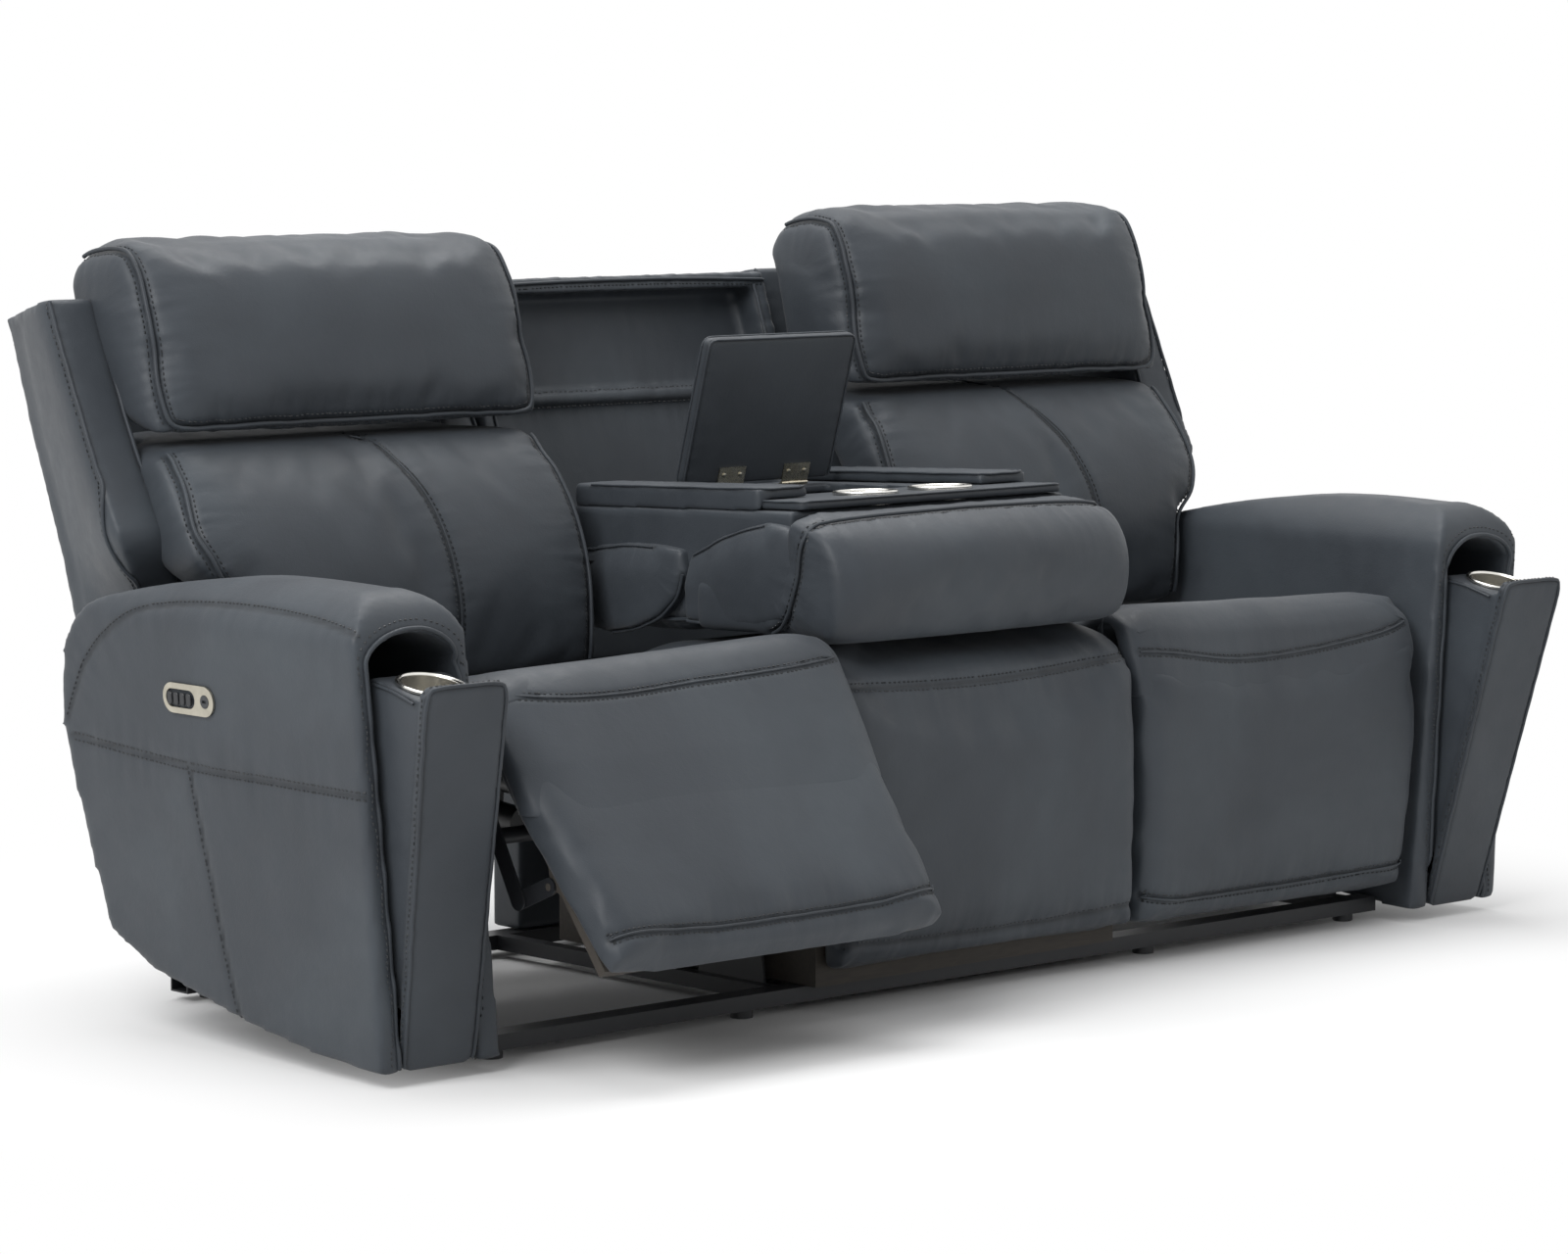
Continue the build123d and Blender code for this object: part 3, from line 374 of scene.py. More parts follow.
def modify(piece, kind, **settings):
    """Gives the active piece a modifier with its settings, and applies it."""
    change = piece.modifiers.new(kind.lower(), kind)
    for name, value in settings.items():
        setattr(change, name, value)
    bpy.ops.object.modifier_apply(modifier=change.name)


def face_outward():
    """Turns every face of the active mesh outward."""
    bpy.ops.object.mode_set(mode="EDIT")
    bpy.ops.mesh.select_all(action="SELECT")
    bpy.ops.mesh.normals_make_consistent(inside=False)
    bpy.ops.object.mode_set(mode="OBJECT")


def cover(name, nodes, voxel, tuck=0.002, ease=3, form=None):
    """One skin over the nodes' solids: merged, remeshed, formed, drawn in a little and eased."""
    deselect()
    for source in nodes:
        twin = frame["nodes"][source].copy()
        twin.data = frame["nodes"][source].data.copy()
        twin.parent = None
        bpy.context.scene.collection.objects.link(twin)
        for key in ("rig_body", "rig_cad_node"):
            del twin[key]
        twin.select_set(True)
        bpy.context.view_layer.objects.active = twin
    if len(nodes) > 1:
        bpy.ops.object.join()
    made = bpy.context.object
    made.name = name
    made.data.materials.clear()
    bpy.ops.object.mode_set(mode="EDIT")
    bpy.ops.mesh.select_all(action="SELECT")
    bpy.ops.mesh.remove_doubles(threshold=0.0001)
    bpy.ops.object.mode_set(mode="OBJECT")
    modify(made, "REMESH", mode="VOXEL", voxel_size=voxel)
    if form:
        for vertex in made.data.vertices:
            vertex.co = form(*vertex.co)
        modify(made, "REMESH", mode="VOXEL", voxel_size=voxel)
    modify(made, "SMOOTH", factor=0.5, iterations=ease)
    for vertex, normal in zip(made.data.vertices, [v.normal.copy() for v in made.data.vertices]):
        vertex.co -= normal * tuck
    made.data.materials.append(slate_leather)
    made.data.shade_smooth()
    return made


def seam_line(piece, points, *turns, look=0, form=None):
    """Smooth line through points in millimetres, laid on the skin: a list of (place, normal).

    The points are leant by the turns and shaped by form. With look, the line lies where a ray along
    +Y or -Y first meets the skin, and otherwise at the nearest place."""
    spacing, reach = 0.004, 0.4
    skin = BVHTree.FromObject(piece, bpy.context.evaluated_depsgraph_get())
    knots = [at(*point, *turns) for point in points]
    if form:
        knots = [form(*knot) for knot in knots]
    ends = [knots[0]] + knots + [knots[-1]]
    raw = []
    for a, b, c, d in zip(ends, ends[1:], ends[2:], ends[3:]):
        steps = max(2, int((c - b).length / spacing))
        for i in range(steps):
            t = i / steps
            raw.append(0.5 * (2 * b + (c - a) * t + (2 * a - 5 * b + 4 * c - d) * t * t
                              + (3 * b - a - 3 * c + d) * t ** 3))
    raw.append(knots[-1])
    laid = []
    for place in raw:
        way = Vector((0, look, 0))
        hit = skin.ray_cast(place - way * 0.15, way, reach) if look else (None,)
        if hit[0] is None:
            hit = skin.find_nearest(place)
        laid.append((hit[0], hit[1]))
    for _ in range(3):
        eased = [(sum((place for place, _ in laid[i - 1:i + 2]), Vector()) / 3,
                  sum((normal for _, normal in laid[i - 1:i + 2]), Vector()).normalized())
                 for i in range(1, len(laid) - 1)]
        laid = [laid[0]] + eased + [laid[-1]]
    return laid


def sew(piece, lines, depth=0.0022, width=0.006, swell=0.0, gather=0.0, gather_reach=0.03):
    """Pulls the skin in along the seam lines, swells it between them, gathers it beside them and marks the
    painted shade beside them in the sewn attribute.
    """
    crest = 0.008                                 # the gathers are deepest this far from the seam
    near = KDTree(sum(len(line) for line in lines))
    along = []
    for number, line in enumerate(lines):
        run = 0.0
        for i, (place, normal) in enumerate(line):
            if i:
                run += (place - line[i - 1][0]).length
            near.insert(place, len(along))
            along.append((run, number))
    near.balance()
    if "sewn" not in piece.data.attributes:
        piece.data.attributes.new("sewn", "FLOAT", "POINT")
    seam_shade = [piece.data.attributes["sewn"].data[i].value for i in range(len(piece.data.vertices))]
    normals = [v.normal.copy() for v in piece.data.vertices]
    for i, vertex in enumerate(piece.data.vertices):
        _, index, far = near.find(vertex.co)
        move = -depth * math.exp(-(far / width) ** 2)
        if swell and far < 0.3:
            move += swell * (1 - math.exp(-(far / 0.06) ** 2))
        if gather and far < gather_reach * 3:
            run, number = along[index]
            wave = noise.noise(Vector((run * 55, number * 9.7, far * 9)))
            wave += 0.5 * noise.noise(Vector((run * 140, number * 5.1, far * 16)))
            fade = math.exp(-(far - crest) / gather_reach)
            if far < crest:
                fade = (far / crest) * math.exp(1 - far / crest)
            move += gather * wave * fade
        vertex.co += normals[i] * move
        # The sewn mark, highest on the seam, is where the leather gets painted shade.
        seam_shade[i] = max(seam_shade[i], math.exp(-(far / 0.0045) ** 2))
    piece.data.attributes["sewn"].data.foreach_set("value", seam_shade)
    piece.data.update()


def welt(name, line, body, radius, lift):
    """Piping: a cord covered in leather and sewn into the seam."""
    curve = bpy.data.curves.new(name, "CURVE")
    curve.dimensions = "3D"
    curve.bevel_depth = radius
    curve.bevel_resolution = 2
    curve.use_fill_caps = True
    spline = curve.splines.new("POLY")
    kept = line[::2]
    spline.points.add(len(kept) - 1)
    for point, (place, normal) in zip(spline.points, kept):
        point.co = (place + normal * lift).to_4d()
    made = bpy.data.objects.new(name, curve)
    bpy.context.scene.collection.objects.link(made)
    pick(made)
    bpy.ops.object.convert(target="MESH")
    made = bpy.context.object
    made.data.materials.clear()
    made.data.materials.append(welt_leather)
    made.data.shade_smooth()
    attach(made, body)
    return made


def stitches(name, piece, rows, body):
    """Top-stitching: a short lens of thread every pitch along each (line, offset) row."""
    pitch, long, thick, bite = 0.0085, 0.006, 0.0011, 0.0006
    skin = BVHTree.FromObject(piece, bpy.context.evaluated_depsgraph_get())
    points, faces = [], []
    for line, offset in rows:
        due = 0.0
        for (place, normal), (after, _) in zip(line, line[1:]):
            step = after - place
            due -= step.length
            if due > 0 or step.length < 1e-6:
                continue
            due += pitch
            way = step.normalized()
            across = normal.cross(way).normalized()
            spot, up, _, _ = skin.find_nearest(place + across * offset)
            across = up.cross(way).normalized()
            first = len(points)
            points.append(spot - way * long / 2 - up * bite)
            for part in (-0.25, 0.25):
                for side_way, rise in ((-1, 0.0), (0, 1.0), (1, 0.0), (0, -0.6)):
                    points.append(spot + way * long * part + across * side_way * thick
                                  + up * thick * rise + up * bite / 2)
            points.append(spot + way * long / 2 - up * bite)
            for i in range(4):
                j = (i + 1) % 4
                faces.append((first, first + 1 + j, first + 1 + i))
                faces.append((first + 1 + i, first + 1 + j, first + 5 + j, first + 5 + i))
                faces.append((first + 9, first + 5 + i, first + 5 + j))
    mesh = bpy.data.meshes.new(name)
    mesh.from_pydata(points, [], faces)
    mesh.update()
    made = bpy.data.objects.new(name, mesh)
    bpy.context.scene.collection.objects.link(made)
    pick(made)
    face_outward()
    made.data.materials.append(thread)
    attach(made, body)
    return made


def left_twin(piece, *turns):
    """The same piece for the left side: mirrored, then carried by the left seat's own turns."""
    twin = piece.copy()
    twin.data = piece.data.copy()
    twin.name = piece.name.replace("right", "left")
    twin.parent = None
    if "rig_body" in twin:
        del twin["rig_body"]
    bpy.context.scene.collection.objects.link(twin)
    move = Matrix.Identity(4)
    for (depth, height), degrees in turns:
        pivot = Matrix.Translation(at(0, depth, height))
        move = pivot @ Matrix.Rotation(-math.radians(degrees), 4, "X") @ pivot.inverted() @ move
    twin.data.transform(move @ Matrix.Scale(-1, 4, (1, 0, 0)))
    twin.data.flip_normals()
    return twin


def twin_trims(trims, body, *turns):
    """The left side's piping and stitching, from the right side's."""
    for trim in trims:
        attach(left_twin(trim, *turns), body)


def dress(piece, body, *nodes, filled=None):
    """Rides a leather piece on its body, in the place of the nodes' solids, and hides those. The filled argument
    is not used.
    """
    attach(piece, body)
    if nodes:
        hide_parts(*nodes)


right_arm = cover("arm_cover_right", ["arm_right"], 0.0075, 0.001, 5)
arm_top_seam = seam_line(right_arm, ((1155, -13, 598), (1152, 13, 601), (1150, 89, 612), (1150, 206, 620),
                                     (1150, 319, 616), (1150, 425, 601), (1150, 510, 572),
                                     (1150, 587, 515), (1152, 640, 430)))
arm_low_seam = seam_line(right_arm, ((1143, -12, 387), (1143, 180, 388), (1143, 364, 390),
                                     (1145, 631, 407)))
arm_rise_seam = seam_line(right_arm, ((1143, 364, 389), (1130, 325, 200), (1121, 297, 80),
                                      (1120, 290, 56)))
mouth_arch = ((958, 24), (961, 110), (974, 310), (988, 520), (993, 568), (1024, 592), (1064, 599),
              (1108, 591), (1138, 568), (1136, 520), (1114, 310), (1094, 110), (1088, 24))
arm_mouth = seam_line(right_arm, [(x, -14, z) for x, z in mouth_arch], look=1)
sew(right_arm, [arm_top_seam, arm_low_seam, arm_rise_seam], 0.002, 0.005, gather=0.0012)
dress(left_twin(right_arm), "root", "arm_left")
dress(right_arm, "root", "arm_right")
arm_rows = [(arm_mouth, 0.013), (arm_top_seam, 0.004), (arm_low_seam, 0.005), (arm_low_seam, -0.005),
            (arm_rise_seam, 0.004)]
twin_trims((welt("arm_mouth_welt_right", arm_mouth, "root", 0.0034, 0.0022),
            stitches("arm_stitching_right", right_arm, arm_rows, "root")), "root")

# ---------------------------------------------------------------- arm doors, cup boxes and pocket rails
# Each arm front is a leather-wrapped board that falls open on pins at its foot and carries a padded
# box with a drawn stainless cup. Behind it the pocket has a plain steel rail.
door_turn = ((4, 26), -12.8)
right_door = cover("door_cover_right", ["door_panel_right", "door_bin_right"], 0.005, 0.0008, 3)
door_outline = ((962, 26), (970, 170), (981, 340), (994, 530), (1012, 550), (1062, 552), (1114, 550),
                (1128, 530), (1110, 340), (1094, 170), (1079, 26))
door_edge = seam_line(right_door, [(x, -11, z) for x, z in door_outline], door_turn)
box_edge = seam_line(right_door, ((1000, 20, 520), (1000, 70, 522), (1004, 112, 520), (1060, 117, 521),
                                  (1114, 112, 520), (1118, 70, 522), (1118, 20, 520)), door_turn)
sew(right_door, [door_edge, box_edge], 0.0012, 0.004, gather=0.0005, gather_reach=0.02)
dress(right_door, "door_right", "door_panel_right", "door_bin_right")
dress(left_twin(right_door), "door_left", "door_panel_left", "door_bin_left")
twin_trims((welt("door_welt_right", door_edge, "door_right", 0.0026, 0.001),
            welt("door_box_welt_right", box_edge, "door_right", 0.0018, 0.0006),
            stitches("door_stitching_right", right_door, [(door_edge, 0.009)], "door_right")), "door_left")
stainless = plated_metal("deep_drawn_stainless", "f1efea", "dedcd6", 0.2, (1.0, 1.0, 14.0), 0.05)
finish_nodes(black_coat, "pocket_rails")
rim_radius, rim_wire = 0.0448, 0.003


def cup_rim(name, body, centre, above):
    """The cup's rolled rim: a flattened ring whose inner side is drawn down into the bowl."""
    deselect()
    bpy.ops.mesh.primitive_torus_add(major_segments=56, minor_segments=12, major_radius=rim_radius,
                                     minor_radius=rim_wire)
    made = bpy.context.object
    made.name = name
    for vertex in made.data.vertices:
        inner = max(0.0, rim_radius - math.hypot(vertex.co.x, vertex.co.y)) / rim_wire
        vertex.co.z = vertex.co.z * 0.8 - 0.0022 * inner * inner
    made.data.shade_smooth()
    fix_fitting(made, stainless, body, centre, (above - centre).normalized())


for side, s in sides:
    finish_nodes(stainless, f"door_cup_{side}")
    cup_rim(f"door_cup_rim_{side}", f"door_{side}", at(s * 1062, 62, 529.5, door_turn),
            at(s * 1062, 62, 540, door_turn))

# ---------------------------------------------------------------- control plates
# A cast zinc plate in satin nickel on each arm's outer face holds four black rocker buttons and a
# round charging socket.
satin_nickel = plated_metal("satin_nickel_plate", "cfcabb", "a7a294", 0.3, (1.0, 0.06, 1.0))
button_plastic = moulded_plastic("black_abs_button", "17181a", 0.36, 0.25)
socket_plastic = moulded_plastic("grey_abs_socket", "34373a", 0.42, 0.3)
finish_nodes(satin_nickel, "control_plates")
finish_nodes(socket_plastic, "usb_sockets")
for side, s in sides:
    for number in range(1, 5):
        finish_nodes(button_plastic, f"power_button_{side}_{number}")

# ---------------------------------------------------------------- middle seat
# A fixed plywood box with a foam cushion on top. One leather cover runs over the cushion and down
# the front, with a curved seam under the front roll and a low band above the floor.


def stuff(piece, pressure, cap, held):
    """Lets the skin swell like a filled cushion. Points that held() picks, and long moves, are kept back."""
    start = [v.co.copy() for v in piece.data.vertices]
    kept = [i for i, place in enumerate(start) if held(place)]
    sideways, last_frame = 0.45, 20
    pick(piece)
    piece.vertex_groups.new(name="held").add(kept, 1.0, "REPLACE")
    cloth = piece.modifiers.new("filling", "CLOTH")
    cloth.settings.quality = 4
    cloth.settings.mass = 0.3
    cloth.settings.use_pressure = True
    cloth.settings.uniform_pressure_force = pressure
    cloth.settings.effector_weights.gravity = 0.0
    cloth.settings.vertex_group_mass = "held"
    cloth.settings.bending_stiffness = 2.0
    cloth.settings.shrink_min = -0.02
    cloth.collision_settings.use_collision = False
    for number in range(1, last_frame + 1):
        bpy.context.scene.frame_set(number)
    bpy.ops.object.modifier_apply(modifier="filling")
    bpy.context.scene.frame_set(1)
    for vertex, place in zip(piece.data.vertices, start):
        move = vertex.co - place
        move.x *= sideways
        vertex.co = place + move * min(1.0, cap / max(move.length, 1e-9))
    piece.vertex_groups.clear()
    modify(piece, "SMOOTH", factor=0.5, iterations=9)


def subdivide(piece):
    pick(piece)
    modify(piece, "SUBSURF", levels=1, render_levels=1)
    piece.data.shade_smooth()


def padded_cover(name, nodes, voxel, pressure, cap, held, ease=4, form=None):
    """A remeshed skin that is filled and subdivided."""
    made = cover(name, nodes, voxel, 0.003, ease, form)
    stuff(made, pressure, cap, held)
    subdivide(made)
    return made


def middle_held(place):
    """Only the seat's top and its front roll swell: the back and the front panel stay flat."""
    return place.y > 0.43 + front_y or (place.y > 0.034 + front_y and place.z < 0.43)


middle_nodes = ("centre_front_panel", "centre_seat_cushion")
middle_seat = padded_cover("middle_seat_cover", middle_nodes, 0.009, 4.0, 0.012, middle_held)
middle_top = seam_line(middle_seat, ((-299, -14, 462), (-150, -14, 453), (0, -14, 450), (150, -14, 455),
                                     (299, -14, 465)), look=1)
middle_low = seam_line(middle_seat, ((-299, -8, 98), (-150, -8, 91), (0, -8, 88), (150, -8, 90),
                                     (299, -8, 98)), look=1)
sew(middle_seat, [middle_top, middle_low], 0.004, 0.008, gather=0.0014, gather_reach=0.035)
dress(middle_seat, "root", *middle_nodes, filled=0.7)
stitches("middle_seat_stitching", middle_seat, [(middle_top, 0.006), (middle_top, -0.006),
                                                (middle_low, 0.005)], "root")
plywood, ply_tree, ply_shader, ply_place = new_material("rotary_cut_plywood")
ply_along = node(ply_tree, "ShaderNodeMapping", None, {"Vector": ply_place, "Scale": (1.0, 7.0, 7.0)})
ply_grain = node(ply_tree, "ShaderNodeTexNoise", None,
                 {"Vector": ply_along.outputs["Vector"], "Scale": 22.0, "Detail": 6.0, "Distortion": 1.2})
ply_shade = node(ply_tree, "ShaderNodeMix", {"data_type": "RGBA"},
                 {0: ply_grain.outputs["Fac"], 6: hexcolour("2c2a28"), 7: hexcolour("453f38")})
fill(ply_tree, ply_shader, {"Base Color": ply_shade.outputs[2], "Roughness": 0.75})
finish_nodes(plywood, "centre_seat_box")
for side, s in sides:
    finish_nodes(plywood, f"footrest_board_{side}")

# ---------------------------------------------------------------- centre back
# A fixed leather-wrapped frame between the outer seats: two stiles, a rolled top rail, and a recess
# that takes the folded-up console, with a ledge and a loosely stretched panel behind it.
back_frame = cover("centre_back_cover", ["centre_back_frame"], 0.0065, 0.001, 2)
rail_front = seam_line(back_frame, ((-314, 826, 992), (-160, 827, 997), (0, 827, 999), (160, 827, 997),
                                    (314, 826, 992)))
ledge_top = seam_line(back_frame, ((-284, 808, 831), (0, 808, 833), (284, 808, 831)))
ledge_low = seam_line(back_frame, ((-284, 802, 811), (0, 802, 811), (284, 802, 811)))
panel_low = seam_line(back_frame, ((-284, 742, 620), (-140, 742, 612), (0, 742, 609), (140, 742, 612),
                                   (284, 742, 620)), look=1)
stile_front, stile_rear = ((640, 480), (712, 680), (785, 880), (824, 985)), ((790, 560), (850, 780), (898, 980))
stile_seams = [seam_line(back_frame, [(s * 290, y, z) for y, z in stile_front]) for s in (-1, 1)]
rear_seams = [seam_line(back_frame, [(s * 280, y, z) for y, z in stile_rear], look=-1) for s in (-1, 1)]
sew(back_frame, [rail_front, ledge_low, panel_low] + stile_seams + rear_seams, 0.0015, 0.005,
    gather=0.0022, gather_reach=0.05)
dress(back_frame, "root", "centre_back_frame")
for number, line in enumerate(stile_seams):
    welt(f"stile_welt_{number}", line, "root", 0.0026, 0.001)
welt("rail_welt", rail_front, "root", 0.0026, 0.001)
stitches("centre_back_stitching", back_frame, [(rail_front, -0.008), (ledge_top, 0.004), (ledge_low, -0.004),
                                               (rear_seams[0], 0.005), (rear_seams[1], -0.005)], "root")

# ---------------------------------------------------------------- console
# The folded-down middle back: a wrapped board with two stainless cups and a lidded bin between two
# arm pads, the headrest pillow at its front, and the lumbar pad below. Gussets close its sides.
droop = ((513, 580), 2.4)
dress(cover("console_body_cover", ["console_base"], 0.006, 0.001, 2), "console", "console_base")
deck = cover("console_deck_cover", ["console_deck"], 0.004, 0.0006, 2)
deck_outline = ((-262, 340), (-262, 120), (-250, 109), (0, 108), (250, 109), (262, 120), (262, 340), (262, 585))
deck_edge = seam_line(deck, [(x, y, 696) for x, y in deck_outline], droop)
sew(deck, [deck_edge], 0.0008, 0.003, gather=0.0005, gather_reach=0.015)
dress(deck, "console", "console_deck")
welt("console_deck_welt", deck_edge, "console", 0.0016, 0.0004)


def clamp(value):
    return max(0.0, min(1.0, value))


def pad_form(x, y, z):
    """The pads' leather is drawn down over the deck's edge on the outer side."""
    middle = (704.9 - ((y - front_y) * 1000 - 513) * 0.0419) / 1000     # half way up a pad, with the droop
    outer = clamp((abs(x) - 0.249) / 0.008)
    low = clamp((middle + 0.003 - z) / 0.006)
    return Vector((x + math.copysign(0.009, x) * outer, y, z - 0.017 * outer * low))


pads = cover("console_pad_covers", ["console_pads"], 0.0045, 0.0006, 3, pad_form)
pad_outline = ((174, 560), (174, 400), (174, 230), (180, 195), (217, 192), (260, 195), (268, 230), (268, 400),
               (268, 560))
pad_rims = [seam_line(pads, [(s * x, y, 713) for x, y in pad_outline], droop) for s in (-1, 1)]
sew(pads, pad_rims, 0.0012, 0.004, swell=0.002, gather=0.0008, gather_reach=0.02)
dress(pads, "console", "console_pads", filled=0.9)
for number, rim in enumerate(pad_rims):
    welt(f"console_pad_welt_{number}", rim, "console", 0.0018, 0.0006)


def pillow_form(x, y, z):
    """The pillow is fullest along its top, where it meets the deck."""
    up = clamp((z - 0.54) / 0.12) * clamp((0.13 + front_y - y) / 0.02)
    return Vector((x * 1.045, y, z + 0.02 * up))


def behind(depth):
    return lambda place: place.y > depth / 1000 + front_y


pillow = padded_cover("console_pillow_cover", ["console_pillow"], 0.0075, 5.0, 0.014, behind(180), 4,
                      pillow_form)
pillow_half = ((283, 150, 528), (284, 108, 556), (285, 86, 600), (284, 80, 640), (278, 72, 668), (255, 62, 680),
               (120, 58, 685))
pillow_edge = seam_line(pillow, [(-x, y, z) for x, y, z in pillow_half] + [(0, 57, 686), *pillow_half[::-1]])
sew(pillow, [pillow_edge], 0.004, 0.008, gather=0.0022, gather_reach=0.04)
dress(pillow, "console", "console_pillow", filled=0.7)
welt("console_pillow_welt", pillow_edge, "console", 0.0028, 0.001)
stitches("console_pillow_stitching", pillow, [(pillow_edge, 0.0075), (pillow_edge, -0.0075)], "console")

lumbar = padded_cover("console_lumbar_cover", ["console_lumbar_pad"], 0.008, 4.0, 0.01,
                      lambda place: place.z > 0.565)
lumbar_half = ((276, 330, 520), (277, 430, 520), (277, 525, 520))
lumbar_edge = seam_line(lumbar, [(-x, y, z) for x, y, z in lumbar_half] + [(0, 530, 519), *lumbar_half[::-1]],
                        droop)
sew(lumbar, [lumbar_edge], 0.003, 0.008, gather=0.002, gather_reach=0.04)
dress(lumbar, "console", "console_lumbar_pad", filled=0.7)
welt("console_lumbar_welt", lumbar_edge, "console", 0.0028, 0.001)

lobe_outlines = {"front": ((337, 526), (258, 527), (180, 531), (122, 545), (96, 572), (86, 606), (86, 640),
                           (98, 668), (130, 679), (171, 681), (209, 672), (268, 655), (337, 627), (340, 580)),
                 "rear": ((345, 631), (338, 596), (350, 562), (387, 531), (438, 511), (499, 499), (552, 504),
                          (577, 560), (571, 622), (468, 633), (407, 635))}
lobe_seams = {"front": ((0, 7), (9, 13)), "rear": ((1, 6), (8, 11))}    # welted lower edge, plain upper edge
lobe_inner, lobe_thick, lobe_face, lobe_crown = 258, 0.031, 0.268, 0.011
for end, outline in lobe_outlines.items():
    deselect()
    bpy.ops.mesh.primitive_circle_add(vertices=len(outline), radius=0.1, fill_type="NGON")
    lobe = bpy.context.object
    lobe.name = f"console_gusset_{end}_right"
    for vertex, (depth, height) in zip(lobe.data.vertices, outline):
        vertex.co = at(lobe_inner, depth, height)
    bpy.ops.object.mode_set(mode="EDIT")
    bpy.ops.mesh.select_all(action="SELECT")
    bpy.ops.mesh.extrude_region_move(TRANSFORM_OT_translate={"value": (lobe_thick, 0, 0)})
    face_outward()
    modify(lobe, "REMESH", mode="VOXEL", voxel_size=0.005)
    modify(lobe, "SMOOTH", iterations=10)
    middle = sum((at(0, *p) for p in outline), Vector()) / len(outline)
    for vertex in lobe.data.vertices:
        reach = math.hypot(vertex.co.y - middle.y, vertex.co.z - middle.z)
        vertex.co.x += lobe_crown * max(0.0, 1 - (reach / 0.11) ** 2) * (vertex.co.x > lobe_face)
    first, last = lobe_seams[end][1]
    ridge = [at(0, *a) + (at(0, *b) - at(0, *a)) * share / 8 for a, b in
             zip(outline[first:last], outline[first + 1:last]) for share in range(9)]
    for vertex in lobe.data.vertices:
        near = min(math.hypot(vertex.co.y - spot.y, vertex.co.z - spot.z) for spot in ridge)
        vertex.co.x -= lobe_crown * math.exp(-(near / 0.026) ** 2) * (vertex.co.x > lobe_face)
    lobe.data.materials.append(slate_leather)
    subdivide(lobe)
    inset = [(286, (middle.y - front_y) * 1000 * 0.03 + depth * 0.97, middle.z * 1000 * 0.03 + height * 0.97)
             for depth, height in outline]
    edges = [seam_line(lobe, inset[first:last]) for first, last in lobe_seams[end]]
    sew(lobe, edges, 0.0015, 0.005, gather=0.0009, gather_reach=0.03)
    for piece in (lobe, left_twin(lobe)):
        dress(piece, "console", filled=0.6)
    # The plain upper edge gets a thin cord of the darker welt leather. It stands for the closed seam and for
    # painted shade in its fold.
    twin_trims((welt(f"console_gusset_welt_{end}_right", edges[0], "console", 0.0024, 0.001),
                welt(f"console_gusset_seam_{end}_right", edges[1], "console", 0.0012, 0.0002)), "console")

lid_turn = ((491, 700.6), 72)
lid = cover("console_lid_cover", ["console_lid"], 0.004, 0.0006, 3)
lid_outline = ((-147, 486), (-147, 370), (-147, 270), (-138, 261), (0, 260), (138, 261), (147, 270), (147, 370),
               (147, 486))
lid_rims = [seam_line(lid, [(x, y, z) for x, y in lid_outline], lid_turn, droop) for z in (703, 720)]
sew(lid, lid_rims, 0.001, 0.004, gather=0.0005, gather_reach=0.02)
dress(lid, "lid", "console_lid", filled=0.9)
for number, rim in enumerate(lid_rims):
    welt(f"console_lid_welt_{number}", rim, "lid", 0.0017, 0.0005)
hinge_nickel = plated_metal("antique_nickel_hinge", "e6dfce", "b3a98f", 0.26)
finish_nodes(stainless, "console_cups")
finish_nodes(hinge_nickel, "lid_hinge_leaves", "console_hinge_leaves")
for number, x in enumerate((-75, 75)):
    cup_rim(f"console_cup_rim_{number}", "console", at(x, 177, 699.5, droop), at(x, 177, 710, droop))
for number, x in enumerate((-72, -40, 58, 90)):
    leaf_face, leaf_back = (at(x, 472, height, lid_turn, droop) for height in (699.2, 710))
    rivet(f"lid_hinge_screw_{number}", "lid", leaf_face, (leaf_face - leaf_back).normalized(), 0.0034,
          0.0018)

# ---------------------------------------------------------------- outer seats and leg panels
# Foam over springs on the steel frame. The seat's leather runs over the front edge and on down the
# folding leg panel, so the two look like one fall of leather with a curved double seam.


def eased(value):
    """From 0 to 1 with a soft start and end."""
    value = clamp(value)
    return value * value * (3 - 2 * value)


def settle(piece, low, high, dip, hollow):
    """Sinks a seat's front roll, least at its inner end, and hollows the seat behind it, as in use."""
    for vertex in piece.data.vertices:
        across = clamp((vertex.co.x - low) / (high - low))
        share = clamp((vertex.co.z - 0.43) / 0.08)
        back = eased((vertex.co.y - front_y - 0.05) / 0.2)
        corner = max(0.0, 1 - (high - vertex.co.x) / 0.06) ** 2
        sink = dip * (1 + 0.5 * across - 0.6 * (1 - across) ** 2) + 0.012 * corner
        vertex.co.z -= share * (sink + hollow * back)


def round_corners(piece, low, high, base, reach, drop, back=0.0):
    """Rounds the top corners at both ends of a pad, and draws its ends back."""
    for vertex in piece.data.vertices:
        end = min(vertex.co.x - low, high - vertex.co.x)
        turn = clamp(1 - end / reach)
        turn = 1 - math.sqrt(max(0.0, 1 - turn * turn))
        share = clamp((vertex.co.z - base) / 0.06)
        vertex.co.z -= drop * turn * share
        vertex.co.y += back * turn


def widen(x, low, high, new_low, new_high):
    """Spreads the span from low to high evenly over a new one."""
    return new_low + (x - low) * (new_high - new_low) / (high - low)


seat_span, fall_span = (0.306, 0.936), (0.3045, 0.9365)     # a seat's sides, and those of the fall over it


def seat_form(x, y, z):
    """The seat fills the space between the middle seat and the arm."""
    return Vector((widen(x, 0.309, 0.925, *seat_span), y, z))


def leg_form(x, y, z):
    """The leg panel widens upwards with the arm beside it."""
    return Vector((widen(x, 0.313, 0.899, 0.306, min(0.932, 0.902 + 0.1 * z)), y, z))


